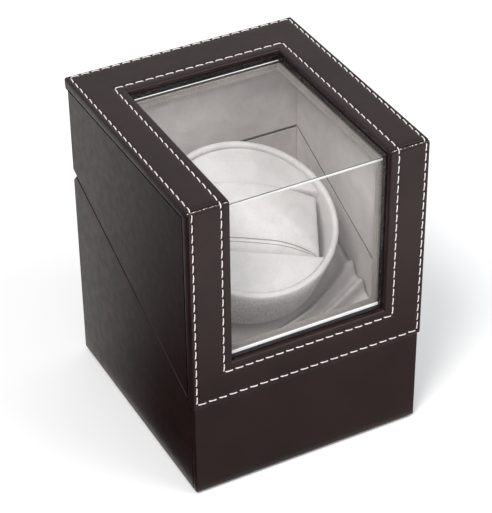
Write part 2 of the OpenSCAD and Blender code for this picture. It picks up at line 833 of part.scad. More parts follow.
// Ring of points round c, square to direction d
function wire_ring(c, d) =
    let (u = unit(cross(d, [0.3, 0.1, 1])), w = cross(d, u))
    [for (k = [0:wire_sides - 1]) let (a = 360 * k / wire_sides) c + wire_r * (cos(a) * u + sin(a) * w)];

module wire(route) {
    c = smooth_route(route);
    last = len(c) - 1;
    n = wire_sides;
    points = [for (i = [0:last]) each wire_ring(c[i], unit(c[min(i + 1, last)] - c[max(i - 1, 0)]))];
    sides = [for (i = [0:last - 1], k = [0:n - 1])
        [i * n + k, i * n + (k + 1) % n, (i + 1) * n + (k + 1) % n, (i + 1) * n + k]];
    polyhedron(points, concat(sides,
        [[for (k = [0:n - 1]) n - 1 - k]],
        [[for (k = [0:n - 1]) last * n + k]]));
}

// Routes in box coordinates: socket to switch, socket to board, switch to board, board to motor
module power_wires()
    color("firebrick") {
        wire([[31.5, 53, 29], [30, 48, 32], [26, 46, 33], [22, 47, 30], [21, 48.5, 28.5]]);
        wire([[36.5, 53, 27], [36, 44, 22], [28, 20, 10], [4, -20, 8.5], [2, -32, 12],
            [-5, -32, 16], [-8.8, -31, 16]]);
        wire([[15, 48.5, 28], [14, 42, 22], [8, 20, 10], [0, -10, 8.5], [-6, -22, 11],
            [-12, -24, 16], [-13, -27.5, 16]]);
    }

module motor_wires()
    color("royalblue")
        for (x = [0, 3]) wire([[-19 + 10 * x / 3, 32.5, 30.5], [-20 + 2 * x, 30, 22], [-24 + x, 14, 12],
            [-29 + x, -8, 12], [-31 + x, -20, 17], [-32 + x, -27.5, 16]]);

// ---------------------------------------------------------------- nodes

face_frame();
window_trim();
top_pane();
front_pane();
pane_retainer();
lid_left_panel();
lid_right_panel();
lid_back_panel();
lid_left_liner();
lid_right_liner();
lid_back_liner();
lid_hinge_rail();
lid_hinge_leaves();
lid_hinge_screws();
base_left_panel();
base_right_panel();
base_front_panel();
base_back_panel();
base_bottom_panel();
base_left_liner();
base_right_liner();
base_front_liner();
base_back_liner();
base_hinge_rail();
base_hinge_leaves();
base_hinge_screws();
hinge_pins();
platform();
platform_cloth();
platform_cleats();
gearbox_case();
gearbox_cover();
gearbox_screws();
gear_axles();
output_bush();
motor_can();
motor_magnets();
motor_end_cap();
motor_pinion();
motor_armature();
first_gear();
second_gear();
third_gear();
output_gear();
output_shaft();
rotor_hub();
hub_screw();
rotor_cup();
upper_pad();
lower_pad();
watch_cushion();
control_board();
board_standoffs();
power_wires();
motor_wires();
connector_plate();
dc_jack();
switch_housing();
switch_rocker();
foot_pads();
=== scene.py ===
"""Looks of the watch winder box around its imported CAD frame."""

import json
import math
import random

import bmesh
import bpy
import numpy as np
from mathutils import Matrix, Vector, noise
from mathutils.bvhtree import BVHTree


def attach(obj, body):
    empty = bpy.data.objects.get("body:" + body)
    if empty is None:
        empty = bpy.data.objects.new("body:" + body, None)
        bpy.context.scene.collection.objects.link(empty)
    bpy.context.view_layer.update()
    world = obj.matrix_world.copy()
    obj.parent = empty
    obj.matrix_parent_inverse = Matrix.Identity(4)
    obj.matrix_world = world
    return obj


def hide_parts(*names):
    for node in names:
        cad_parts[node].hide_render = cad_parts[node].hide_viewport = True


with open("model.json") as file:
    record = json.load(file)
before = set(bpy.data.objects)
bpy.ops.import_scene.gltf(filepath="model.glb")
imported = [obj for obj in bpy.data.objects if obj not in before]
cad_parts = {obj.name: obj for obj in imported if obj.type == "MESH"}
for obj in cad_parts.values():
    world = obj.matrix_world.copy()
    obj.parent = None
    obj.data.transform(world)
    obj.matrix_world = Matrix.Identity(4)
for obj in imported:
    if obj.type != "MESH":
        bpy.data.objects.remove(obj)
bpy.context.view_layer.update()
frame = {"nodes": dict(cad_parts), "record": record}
NODES = frame["nodes"]
MM = 0.001

# Sizes in millimetres, as in the CAD
HALF_W, HALF_D, TOP = 67.0, 71.0, 178.0
TILT = math.radians(24.5)
SEAM_FRONT = 57.0
SIDE_IN, ROOM_X = 62.8, 61.5
ROOM_FRONT, ROOM_BACK = -63.4, 53.5
RETAINER_Y, RETAINER_Z = -58.5, 165.5
AXIS_Y = 5.28
ROTOR_TURN = math.radians(-23.8)
WIN_X, WIN_BACK, WIN_LOW = 44.0, 42.5, 80.7
TRIM_LAP, TRIM_STEP = 3.0, 0.8
FRAME_T, TRIM_T = 6.0, 3.0


def seam_z(y):
    return SEAM_FRONT + (y + HALF_D) * math.tan(TILT)


# Seam frame: where the rotor's axis meets the seam, Z along the axis; rotor frame turned in its plane
SEAM_FRAME = Matrix.Translation((0, AXIS_Y, seam_z(AXIS_Y))) @ Matrix.Rotation(TILT, 4, "X")
ROTOR_FRAME = SEAM_FRAME @ Matrix.Rotation(ROTOR_TURN, 4, "Z")


# ------------------------------------------------------------ material nodes


class Shader:
    """A Principled material with short calls for the procedural nodes in front of it."""

    def __init__(self, name, **sockets):
        self.material = bpy.data.materials.new(name)
        self.material.use_nodes = True
        self.tree = self.material.node_tree
        self.tree.nodes.clear()
        self.out = self.node("OutputMaterial")
        self.bsdf = self.node("BsdfPrincipled")
        self.link(self.bsdf.outputs[0], self.out.inputs[0])
        for key, value in sockets.items():
            self.bsdf.inputs[key.replace("_", " ")].default_value = value
        self.place = self.node("TexCoord").outputs["Object"]

    def node(self, kind, **settings):
        made = self.tree.nodes.new("ShaderNode" + kind)
        for key, value in settings.items():
            setattr(made, key, value)
        return made

    def link(self, a, b):
        self.tree.links.new(a, b)

    def at(self, stretch):
        if stretch is None:
            return self.place
        mapping = self.node("Mapping")
        mapping.inputs["Scale"].default_value = stretch
        self.link(self.place, mapping.inputs["Vector"])
        return mapping.outputs[0]

    def noise(self, size_mm, detail=3.0, stretch=None, distortion=0.0):
        made = self.node("TexNoise")
        made.inputs["Scale"].default_value = 1000.0 / size_mm
        made.inputs["Detail"].default_value = detail
        made.inputs["Distortion"].default_value = distortion
        self.link(self.at(stretch), made.inputs["Vector"])
        return made.outputs["Fac"]

    def cells(self, size_mm, feature="F1"):
        made = self.node("TexVoronoi", feature=feature)
        made.inputs["Scale"].default_value = 1000.0 / size_mm
        self.link(self.place, made.inputs["Vector"])
        return made.outputs["Distance"]

    def colour(self, fac, *stops):
        ramp = self.node("ValToRGB")
        elements = ramp.color_ramp.elements
        for i, (position, rgb) in enumerate(stops):
            element = elements[i] if i < 2 else elements.new(position)
            element.position = position
            element.color = (*rgb, 1.0)
        self.link(fac, ramp.inputs[0])
        self.link(ramp.outputs[0], self.bsdf.inputs["Base Color"])

    def roughness(self, fac, low, high):
        made = self.node("MapRange")
        made.inputs["From Min"].default_value = 0.25
        made.inputs["From Max"].default_value = 0.75
        made.inputs["To Min"].default_value = low
        made.inputs["To Max"].default_value = high
        self.link(fac, made.inputs["Value"])
        self.link(made.outputs[0], self.bsdf.inputs["Roughness"])

    def bump(self, height, depth_mm, strength):
        made = self.node("Bump")
        made.inputs["Distance"].default_value = depth_mm * MM
        made.inputs["Strength"].default_value = strength
        self.link(height, made.inputs["Height"])
        before = self.bsdf.inputs["Normal"]
        if before.is_linked:
            self.link(before.links[0].from_socket, made.inputs["Normal"])
        self.link(made.outputs[0], before)


def leather(name, dark, light, rough):
    s = Shader(name, Specular_IOR_Level=0.3, Coat_Weight=0.03, Coat_Roughness=0.16)
    s.bsdf.inputs["Specular Tint"].default_value = (1.0, 0.84, 0.83, 1.0)
    s.colour(s.noise(28, 5), (0.3, dark), (0.72, light))
    s.roughness(s.noise(5, 4), rough - 0.05, rough + 0.07)
    s.bump(s.noise(34, 2, (1, 1, 0.4)), 0.9, 0.09)
    s.bump(s.cells(1.1, "SMOOTH_F1"), 0.06, 0.3)
    s.bump(s.noise(0.42, 3), 0.03, 0.3)
    return s.material


def speckled_glint_edge(name):
    """Pinched dark leather with pale specks painted on as glints of light along the crease."""
    s = Shader(name, Roughness=0.45)
    s.colour(s.noise(1.1, 2), (0.5, (0.022, 0.014, 0.014)), (0.58, (0.62, 0.55, 0.54)))
    s.bump(s.noise(0.5, 2), 0.05, 0.5)
    return s.material


def velvet(name, dark, light, speckle=0.5):
    s = Shader(name, Roughness=0.95, Specular_IOR_Level=0.2, Sheen_Weight=0.35, Sheen_Roughness=0.45)
    s.bsdf.inputs["Sheen Tint"].default_value = (1.0, 0.98, 0.97, 1.0)
    patches, fibres = s.noise(11, 5, distortion=0.6), s.noise(0.8, 4)
    mix = s.node("Math", operation="MULTIPLY_ADD")
    mix.inputs[1].default_value = speckle
    s.link(fibres, mix.inputs[0])
    part = s.node("Math", operation="MULTIPLY")
    part.inputs[1].default_value = 1.0 - speckle
    s.link(patches, part.inputs[0])
    s.link(part.outputs[0], mix.inputs[2])
    s.colour(mix.outputs[0], (0.36, dark), (0.62, light))
    s.bump(s.noise(7, 3), 0.5, 0.18)
    s.bump(fibres, 0.12, 0.55)
    return s.material


def plastic(name, dark, light, rough, depth=0.02, size=0.5, coat=0.0, specular=0.5):
    s = Shader(name, Coat_Weight=coat, Coat_Roughness=0.08, Specular_IOR_Level=specular)
    s.colour(s.noise(9, 4), (0.3, dark), (0.7, light))
    s.roughness(s.noise(3, 3), rough - 0.04, rough + 0.05)
    s.bump(s.noise(size, 3), depth, 0.4)
    return s.material


def metal(name, dark, light, rough, stretch):
    s = Shader(name, Metallic=1.0)
    s.colour(s.noise(6, 4), (0.3, dark), (0.7, light))
    s.roughness(s.noise(0.9, 4, stretch), rough - 0.07, rough + 0.1)
    s.bump(s.noise(0.35, 3, stretch), 0.012, 0.35)
    return s.material


def wood(name):
    s = Shader(name, Roughness=0.75)
    s.colour(
        s.noise(1.6, 6, (1, 0.3, 1)),
        (0.3, (0.28, 0.17, 0.095)),
        (0.55, (0.44, 0.29, 0.17)),
        (0.75, (0.54, 0.38, 0.24)),
    )
    s.bump(s.noise(0.6, 5, (1, 0.35, 1)), 0.1, 0.5)
    return s.material


def circuit(name):
    s = Shader(name, Roughness=0.35, Coat_Weight=0.3, Coat_Roughness=0.15)
    s.colour(s.cells(3.1), (0.1, (0.012, 0.09, 0.035)), (0.42, (0.02, 0.15, 0.06)))
    s.bump(s.cells(1.6), 0.06, 0.5)
    return s.material


def thread(name):
    s = Shader(name, Roughness=0.6, Specular_IOR_Level=0.35, Sheen_Weight=0.2)
    s.colour(s.noise(1.4, 3), (0.3, (0.62, 0.56, 0.55)), (0.65, (0.86, 0.80, 0.79)))
    s.bump(s.noise(0.22, 2), 0.05, 0.6)
    return s.material


def acrylic(name):
    """Clear sheet: see-through head on, with the gloss of its polished faces."""
    s = Shader(name)
    s.tree.nodes.remove(s.bsdf)
    kinds = ("BsdfTransparent", "BsdfGlossy", "LayerWeight", "MixShader")
    clear, gloss, facing, mix = (s.node(kind) for kind in kinds)
    clear.inputs["Color"].default_value = (0.965, 0.97, 0.968, 1.0)
    power = s.node("Math", operation="POWER")
    power.inputs[1].default_value = 5.0
    share = s.node("Math", operation="MULTIPLY_ADD")
    share.inputs[1].default_value = 0.96
    share.inputs[2].default_value = 0.04
    s.link(facing.outputs["Facing"], power.inputs[0])
    s.link(power.outputs[0], share.inputs[0])
    smear = s.node("MapRange")
    smear.inputs["To Min"].default_value = 0.015
    smear.inputs["To Max"].default_value = 0.06
    s.link(s.noise(16, 4), smear.inputs["Value"])
    s.link(smear.outputs[0], gloss.inputs["Roughness"])
    s.link(share.outputs[0], mix.inputs[0])
    s.link(clear.outputs[0], mix.inputs[1])
    s.link(gloss.outputs[0], mix.inputs[2])
    s.link(mix.outputs[0], s.out.inputs[0])
    return s.material


# Pale colour with a faint emission: a painted highlight and glow standing for the light along the acrylic's
# edges.
def painted_edge_glow(name):
    s = Shader(name, Roughness=0.12, Emission_Strength=0.08, Coat_Weight=0.6, Coat_Roughness=0.04)
    s.bsdf.inputs["Emission Color"].default_value = (1.0, 0.985, 0.975, 1.0)
    s.colour(s.noise(7, 3), (0.3, (0.80, 0.79, 0.78)), (0.7, (0.95, 0.94, 0.93)))
    s.bump(s.noise(1.2, 3), 0.04, 0.4)
    return s.material


SLOTS = {}
for make, slot, *values in (
    (leather, "espresso_leather", (0.0100, 0.0042, 0.0041), (0.0160, 0.0072, 0.0070), 0.34),
    (plastic, "trim_lacquer", (0.007, 0.0052, 0.0052), (0.013, 0.0095, 0.009), 0.26, 0.006, 2.0, 0.06, 0.2),
    (acrylic, "clear_acrylic"),
    (velvet, "taupe_board", (0.30, 0.262, 0.246), (0.43, 0.385, 0.366), 0.75),
    (velvet, "grey_velvet", (0.60, 0.545, 0.535), (0.76, 0.70, 0.69)),
    (velvet, "cushion_velvet", (0.76, 0.715, 0.71), (0.88, 0.845, 0.84), 0.45),
    (wood, "bare_wood"),
    (metal, "hinge_brass", (0.50, 0.33, 0.11), (0.78, 0.58, 0.26), 0.28, (1, 6, 6)),
    (metal, "steel", (0.42, 0.42, 0.43), (0.66, 0.66, 0.67), 0.3, (1, 5, 5)),
    (plastic, "white_plastic", (0.66, 0.66, 0.62), (0.78, 0.78, 0.745), 0.42),
    (plastic, "black_plastic", (0.012, 0.012, 0.013), (0.028, 0.028, 0.03), 0.4, 0.03, 0.35),
    (circuit, "circuit_board"),
    (plastic, "red_wire", (0.34, 0.014, 0.012), (0.50, 0.03, 0.025), 0.45, 0.02, 0.8),
    (plastic, "blue_wire", (0.02, 0.07, 0.36), (0.035, 0.12, 0.5), 0.45, 0.02, 0.8),
    (plastic, "foot_rubber", (0.016, 0.016, 0.016), (0.045, 0.045, 0.045), 0.85, 0.18, 0.5),
    (thread, "stitch_thread"),
):
    SLOTS[slot] = make(slot, *values)
# Pale specks on the pinched crease material are painted glints of light.
CREASE_GLINTS = speckled_glint_edge("crease_glint_leather")
# The acrylic's edges are painted pale and glowing: a painted highlight.
EDGE_GLOW = painted_edge_glow("painted_edge_glow")
# A separate copy of the cup's velvet for its shaded outer side: its tone is painted light for that side,
# with a coarser speckle of the cloth.
CUP_SIDE_PAINTED_LIGHT = velvet("cup_side_painted_light_velvet", (0.50, 0.46, 0.45), (0.93, 0.89, 0.88), 0.85)
# Near-black velvet for the boards' edge faces: painted shade in the gaps between boards.
BOARD_EDGE_SHADE = velvet("board_edge_shade_velvet", (0.05, 0.044, 0.042), (0.09, 0.08, 0.076))
SHADE = velvet("crease_shade", (0.0025, 0.0018, 0.0018), (0.006, 0.0045, 0.0045))
# Grey line at the joint of the two panes: painted shade.
JOINT_SHADE = plastic("pane_joint_shade", (0.10, 0.095, 0.09), (0.20, 0.19, 0.185), 0.3)


# ------------------------------------------------------------ mesh helpers

WELD_DIST = 2e-6
BEVEL_ANGLE = math.radians(25)
GRID_GAP = 0.04


def piece(name, verts, faces, slot, body, replaces=(), material=None):
    """New mesh piece from points in millimetres, riding on a body."""
    mesh = bpy.data.meshes.new(name)
    mesh.from_pydata([Vector(v) * MM for v in verts], [], faces)
    bm = bmesh.new()
    bm.from_mesh(mesh)
    bmesh.ops.remove_doubles(bm, verts=bm.verts, dist=WELD_DIST)
    bmesh.ops.dissolve_degenerate(bm, edges=bm.edges, dist=1e-7)
    bmesh.ops.recalc_face_normals(bm, faces=bm.faces)
    bm.to_mesh(mesh)
    bm.free()
    obj = bpy.data.objects.new(name, mesh)
    bpy.context.scene.collection.objects.link(obj)
    mesh.materials.append(material or SLOTS[slot])
    mesh.shade_smooth()
    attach(obj, body)
    if replaces:
        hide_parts(*replaces)
    return obj


def bevelled(obj, width_mm, segments):
    modifier = obj.modifiers.new("bevel", "BEVEL")
    modifier.width = width_mm * MM
    modifier.segments = segments
    modifier.limit_method = "ANGLE"
    modifier.angle_limit = BEVEL_ANGLE
    modifier.harden_normals = False
    normals = obj.modifiers.new("normals", "WEIGHTED_NORMAL")
    normals.keep_sharp = True
    return obj


def welded(node):
    obj = NODES[node]
    weld = obj.modifiers.new("weld", "WELD")
    weld.merge_threshold = WELD_DIST
    return obj


def soften(node, width_mm, segments):
    """Rounds the edges of a CAD node that stays, by modifiers alone."""
    obj = welded(node)
    planar = obj.modifiers.new("planar", "DECIMATE")
    planar.decimate_type = "DISSOLVE"
    planar.angle_limit = math.radians(0.6)
    obj.data.shade_smooth()
    bevelled(obj, width_mm, segments)


def box_mesh(low, high):
    x, y, z = zip(low, high)
    verts = [(x[i], y[j], z[k]) for i in (0, 1) for j in (0, 1) for k in (0, 1)]
    faces = [(0, 1, 3, 2), (4, 6, 7, 5), (0, 4, 5, 1), (2, 3, 7, 6), (0, 2, 6, 4), (1, 5, 7, 3)]
    return verts, faces


def lines(*groups):
    """Sorted grid lines without near doubles."""
    kept = []
    for value in sorted(v for group in groups for v in group):
        if not kept or value - kept[-1] > GRID_GAP:
            kept.append(value)
    return kept


def fill_steps(values, step):
    out = []
    for a, b in zip(values, values[1:]):
        count = max(1, math.ceil((b - a) / step))
        out += [a + (b - a) * k / count for k in range(count)]
    return [*out, values[-1]]


def rounding(d, r):
    """How far a rounded edge of radius r drops at distance d from the edge."""
    return 0.0 if d >= r else r - math.sqrt(max(0.0, r * r - (r - d) ** 2))


def tube(points, radii, sides, ups, twist=0.0, ply=0.0):
    """Closed tube through points, with a spiral of plies when ply is above 0."""
    verts, faces = [], []
    last = len(points) - 1
    for i, (p, r, up) in enumerate(zip(points, radii, ups)):
        along = (Vector(points[min(i + 1, last)]) - Vector(points[max(i - 1, 0)])).normalized()
        side = along.cross(Vector(up)).normalized()
        out = side.cross(along)
        for k in range(sides):
            a = 2 * math.pi * k / sides
            wide = r * (1 + ply * math.cos(2 * (a - twist * i)))
            verts.append(Vector(p) + wide * (math.cos(a) * side + math.sin(a) * out))
    for i in range(last):
        for k in range(sides):
            n = (k + 1) % sides
            faces.append((i * sides + k, i * sides + n, (i + 1) * sides + n, (i + 1) * sides + k))
    faces.append(tuple(reversed(range(sides))))
    faces.append(tuple(last * sides + k for k in range(sides)))
    return verts, faces


def join(parts):
    verts, faces = [], []
    for v, f in parts:
        base = len(verts)
        verts += v
        faces += [tuple(base + i for i in face) for face in f]
    return verts, faces


# ------------------------------------------------------------ face frame

FOLD_R = 2.5
EDGE_R, RIM_R = 1.3, 1.4
TOP_RUN = 2 * HALF_D - FOLD_R
FOLD_RUN = math.pi / 2 * FOLD_R
FRONT_LOW = SEAM_FRONT + 0.25 + EDGE_R * math.tan(TILT)
FRONT_RUN = TOP - FOLD_R - FRONT_LOW
RUN = TOP_RUN + FOLD_RUN + FRONT_RUN


def run_of_y(y):
    return HALF_D - y


def run_of_z(z):
    return TOP_RUN + FOLD_RUN + (TOP - FOLD_R) - z


WIN_S0, WIN_S1 = run_of_y(WIN_BACK), run_of_z(WIN_LOW)
PLAN_R = 1.2
SEW_DIP, SEW_WIDTH = 0.30, 0.85
CREASE_DIP, CREASE_WIDTH = 0.75, 0.45
# Depth and inset of each row down the outer wall
WALL_ROWS = ((4.7, 0.0), (5.2, 0.1), (5.65, 0.35), (6.0, 0.9))
# Half width, start and end of the rectangle that each row of stitches follows
STITCH_ROWS = ((64.5, run_of_y(69.0), run_of_z(60.6)), (49.0, run_of_y(48.0), run_of_z(76.0)))


def skin_point(x, s, depth):
    """Point at depth under the outer face and the face's normal; s runs along the L from the back edge."""
    if s <= TOP_RUN:
        return Vector((x, HALF_D - s, TOP - depth)), Vector((0, 0, 1))
    if s < TOP_RUN + FOLD_RUN:
        turn = (s - TOP_RUN) / FOLD_R
        normal = Vector((0, -math.sin(turn), math.cos(turn)))
        centre = Vector((x, -HALF_D + FOLD_R, TOP - FOLD_R))
        return centre + normal * (FOLD_R - depth), normal
    return Vector((x, -HALF_D + depth, TOP - FOLD_R - (s - TOP_RUN - FOLD_RUN))), Vector((0, -1, 0))


def wall_point(x, s, depth, inset=0.0):
    """Point at depth on the frame's mitred wall, inset from its outline."""
    x *= 1 - inset / HALF_W
    s = RUN / 2 + (s - RUN / 2) * (1 - 2 * inset / RUN)
    p, _ = skin_point(x, s, 0)
    if s <= TOP_RUN + FOLD_RUN / 2:
        return Vector((x, max(p.y, -HALF_D + depth), TOP - depth))
    low = SEAM_FRONT + 0.25 + depth * math.tan(TILT)
    return Vector((x, -HALF_D + depth, min(max(p.z, low), TOP - depth)))


def inner_point(x, s):
    """Matching point on the frame's inner face, which steps out round the window to hold the trim."""
    lap = TRIM_LAP + 0.03
    near = abs(x) < WIN_X + lap and WIN_S0 - lap < s < WIN_S1 + lap
    return wall_point(x, s, TRIM_T + 0.02 if near else FRAME_T)


def row_distance(x, s, row):
    """Distance to the rectangle that a row of stitches follows."""
    half, s0, s1 = row
    dx, ds = abs(x) - half, max(s0 - s, s - s1)
    if dx > 0 or ds > 0:
        return math.hypot(max(dx, 0), max(ds, 0)) if dx > 0 and ds > 0 else max(dx, ds)
    return -max(dx, ds)


def skin_depth(x, s):
    out = min(HALF_W - abs(x), s, RUN - s)
    rim = max(abs(x) - WIN_X, WIN_S0 - s, s - WIN_S1)
    depth = rounding(out, EDGE_R) + (rounding(rim, RIM_R) if rim >= 0 else 0)
    for row in STITCH_ROWS:
        depth += SEW_DIP * math.exp(-((row_distance(x, s, row) / SEW_WIDTH) ** 2))
    crease = TOP_RUN + 0.25 * FOLD_RUN
    depth += CREASE_DIP * math.exp(-(((s - crease) / CREASE_WIDTH) ** 2))
    wave = noise.noise(Vector((x, s, 3.0)) * 0.035) + 0.5 * noise.noise(Vector((x, s, 9.0)) * 0.09)
    return depth + 0.10 * (1 - math.exp(-out / 3)) * (0.8 + wave)


def face_frame():
    near_edge = [0, 0.06, 0.25, 0.55, 0.95, 1.4, EDGE_R]
    near_rim = [0, 0.05, 0.2, 0.45, 0.8, 1.1, RIM_R]
    near_row = [-1.7, -1.2, -0.8, -0.45, 0, 0.45, 0.8, 1.2, 1.7]
    lap = [TRIM_LAP, TRIM_LAP + 0.05]
    half = lines(
        [HALF_W - d for d in near_edge],
        *[[row[0] + d for d in near_row] for row in STITCH_ROWS],
        [WIN_X + d for d in near_rim],
        [WIN_X + d for d in lap],
    )
    half = [v for v in half if WIN_X <= v <= HALF_W]
    half = fill_steps(half, 2.5)
    middle = fill_steps([-WIN_X, WIN_X], 4.0)
    xs = lines([-v for v in half], half, middle)
    fold = [TOP_RUN + FOLD_RUN * k / 14 for k in range(15)]
    ss = lines(
        near_edge,
        [RUN - d for d in near_edge],
        *[[row[1] + d for d in near_row] for row in STITCH_ROWS],
        *[[row[2] + d for d in near_row] for row in STITCH_ROWS],
        [WIN_S0 - d for d in near_rim + lap],
        [WIN_S1 + d for d in near_rim + lap],
        fold,
    )
    ss = fill_steps([v for v in ss if 0 <= v <= RUN], 3.5)
    nx, ns = len(xs), len(ss)

    def plan(x, s):
        """Rounds the four outer corners in plan."""
        r = PLAN_R
        u = (abs(x) - (HALF_W - r)) / r
        w = max((r - s) / r, (s - (RUN - r)) / r)
        if u <= 0 or w <= 0:
            return x, s
        k = max(u, w) / math.hypot(u, w)
        x = math.copysign(HALF_W - r + u * k * r, x)
        return x, (r - w * k * r if s < RUN / 2 else RUN - r + w * k * r)

    verts = []
    for x in xs:
        for s in ss:
            px, ps = plan(x, s)
            verts.append(skin_point(px, ps, skin_depth(x, s))[0])
    for x in xs:
        for s in ss:
            px, ps = plan(x, s)
            rim = x in (xs[0], xs[-1]) or s in (ss[0], ss[-1])
            verts.append(wall_point(px, ps, *WALL_ROWS[-1]) if rim else inner_point(px, ps))

    def kept(i, j):
        if not (0 <= i < nx - 1 and 0 <= j < ns - 1):
            return False
        x, s = (xs[i] + xs[i + 1]) / 2, (ss[j] + ss[j + 1]) / 2
        return not (abs(x) < WIN_X and WIN_S0 < s < WIN_S1)

    faces, under, rows = [], nx * ns, {}

    def wall_column(k):
        """Points down the rounded outer wall under point k of the skin."""
        if k not in rows:
            px, ps = plan(xs[k // ns], ss[k % ns])
            column = [k]
            for depth, inset in WALL_ROWS[:-1]:
                column.append(len(verts))
                verts.append(wall_point(px, ps, depth, inset))
            rows[k] = [*column, k + under]
        return rows[k]

    for i in range(nx - 1):
        for j in range(ns - 1):
            if not kept(i, j):
                continue
            a, b, c, d = i * ns + j, (i + 1) * ns + j, (i + 1) * ns + j + 1, i * ns + j + 1
            faces.append((a, b, c, d))
            faces.append((d + under, c + under, b + under, a + under))
            sides = (a, b, (i, j - 1)), (b, c, (i + 1, j)), (c, d, (i, j + 1)), (d, a, (i - 1, j))
            for p, q, other in sides:
                if kept(*other):
                    continue
                if 0 <= other[0] < nx - 1 and 0 <= other[1] < ns - 1:
                    faces.append((q, p, p + under, q + under))
                    continue
                left, right = wall_column(q), wall_column(p)
                for n in range(len(left) - 1):
                    faces.append((left[n], right[n], right[n + 1], left[n + 1]))
    obj = piece("face_frame_leather", verts, faces, "espresso_leather", "lid", ["face_frame"])
    obj.data.set_sharp_from_angle(angle=math.radians(50))


face_frame()

STITCH_PITCH, STITCH_LENGTH, STITCH_R = 5.8, 4.9, 0.29


def stitch(x, s, dx, ds, rng):
    """One thread stitch over the skin: dives in at both ends and lies slightly across its row."""
    slant = 0.42 + rng.uniform(-0.08, 0.08)
    length = STITCH_LENGTH + rng.uniform(-0.15, 0.15)
    points, radii, ups = [], [], []
    for k in range(9):
        t = k / 8 * 2 - 1
        along, aside = t * length / 2, slant * t * 0.5 + rng.uniform(-0.02, 0.02)
        px, ps = x + dx * along - ds * aside, s + ds * along + dx * aside
        lift = 0.34 * (1 - t ** 4) - 0.42 * abs(t) ** 7
        p, normal = skin_point(px, ps, skin_depth(px, ps))
        points.append(p + normal * lift)
        radii.append(STITCH_R * (0.62 + 0.38 * (1 - t ** 6)))
        ups.append(normal)
    return tube(points, radii, 8, ups, twist=0.55, ply=0.13)


def stitching():
    rng = random.Random(4)
    for name, (half, s0, s1) in zip(("outer_stitches", "inner_stitches"), STITCH_ROWS):
        corners = [(-half, s0), (-half, s1), (half, s1), (half, s0)]
        parts = []
        for (x0, a0), (x1, a1) in zip(corners, corners[1:] + corners[:1]):
            run = math.hypot(x1 - x0, a1 - a0)
            count = round(run / STITCH_PITCH)
            dx, ds = (x1 - x0) / run, (a1 - a0) / run
            for k in range(count):
                at = (k + 0.5) * run / count
                parts.append(stitch(x0 + dx * at, a0 + ds * at, dx, ds, rng))
        piece(name, *join(parts), "stitch_thread", "lid")


stitching()


POST_STEPS = 60


def across_post(x0, x1, fold_share, sink, wobble=0.0):
    """Points and normals on a line across a post, at a share of the fold's arc, sunk into the leather."""
    points, normals = [], []
    for k in range(POST_STEPS + 1):
        x = x0 + (x1 - x0) * k / POST_STEPS
        s = TOP_RUN + fold_share * FOLD_RUN + wobble * math.sin(k * 1.7)
        p, normal = skin_point(x, s, skin_depth(x, s))
        points.append(p - normal * sink)
        normals.append(normal)
    return points, normals


def fold_beads():
    """The pinched edge of leather across each post, where the top's cover meets the front's."""
    rng = random.Random(8)
    for name, x0, x1 in (("left_fold_bead", -66.4, -44.3), ("right_fold_bead", 44.3, 66.4)):
        points, normals = across_post(x0, x1, 0.52, 0.04)
        radii = [0.2 + 0.09 * math.sin(k * 2.1) + rng.uniform(0, 0.05) for k in range(POST_STEPS + 1)]
        # The bead's pale specks are painted glints of light on the pinched crease.
        piece(name, *tube(points, radii, 8, normals), "espresso_leather", "lid", material=CREASE_GLINTS)
        points, normals = across_post(x0, x1, 0.2, 0.16, 0.12)
        crease = tube(points, [0.3] * len(points), 8, normals)
        piece(f"{name}_crease", *crease, "espresso_leather", "lid", material=SHADE)


fold_beads()

# ------------------------------------------------------------ leather-covered boards

for node in (
    "lid_left_panel",
    "lid_right_panel",
    "lid_back_panel",
    "base_left_panel",
    "base_right_panel",
    "base_front_panel",
    "base_back_panel",
):
    soften(node, 0.9 if "back" not in node else 0.6, 4)


# ------------------------------------------------------------ window

soften("window_trim", 0.25, 3)
soften("pane_retainer", 0.45, 3)


def pane(name, low, high, node):
    obj = piece(name, *box_mesh(low, high), "clear_acrylic", "lid", [node])
    obj.data.materials.append(EDGE_GLOW)
    thin = int(np.argmin(np.array(high) - np.array(low)))
    # Faces along the pane's edges take the pale glowing edge material: a painted highlight of the edges.
    for face in obj.data.polygons:
        face.material_index = 0 if abs(face.normal[thin]) > 0.9 or face.normal.y < -0.9 else 1
    bevelled(obj, 0.2, 2)


pane_front = -HALF_D + FRAME_T
pane("top_acrylic", (-60, pane_front, 170), (60, 48.5, 172), "top_pane")
pane("front_acrylic", (-60, pane_front, 70), (60, pane_front + 2, 169.95), "front_pane")


def edge_strip(name, low, high, material=EDGE_GLOW):
    """Strip along an edge of the acrylic, just inside the trim. Its default material is the pale glowing
    edge: a painted highlight of the acrylic's edge.
    """
    bevelled(piece(name, *box_mesh(low, high), "clear_acrylic", "lid", material=material), 0.05, 2)


lip_x = WIN_X - TRIM_STEP - 0.05
lip_back, lip_low = WIN_BACK - TRIM_STEP, WIN_LOW + TRIM_STEP
# The two lip strips are painted highlights along the panes' edges.
edge_strip("top_pane_lip_highlight", (-lip_x, lip_back - 0.45, 172.0), (lip_x, lip_back - 0.05, 172.35))
# A grey strip above the pale one: a painted shade line at the joint of the panes.
edge_strip("pane_joint_shade_line", (-lip_x, pane_front - 0.06, 171.25), (lip_x, pane_front + 0.3, 171.7), JOINT_SHADE)
# A pale strip at the joint of the panes: a painted highlight of the joint's edge.
edge_strip(
    "pane_joint_highlight", (-lip_x, pane_front - 0.1, 170.3), (lip_x, pane_front, 170.95), SLOTS["white_plastic"]
)
edge_strip("front_pane_lip_highlight", (-lip_x, pane_front - 0.7, lip_low + 0.05), (lip_x, pane_front, lip_low + 1.5))


# ------------------------------------------------------------ velvet boards


BOARD_CELLS = 26


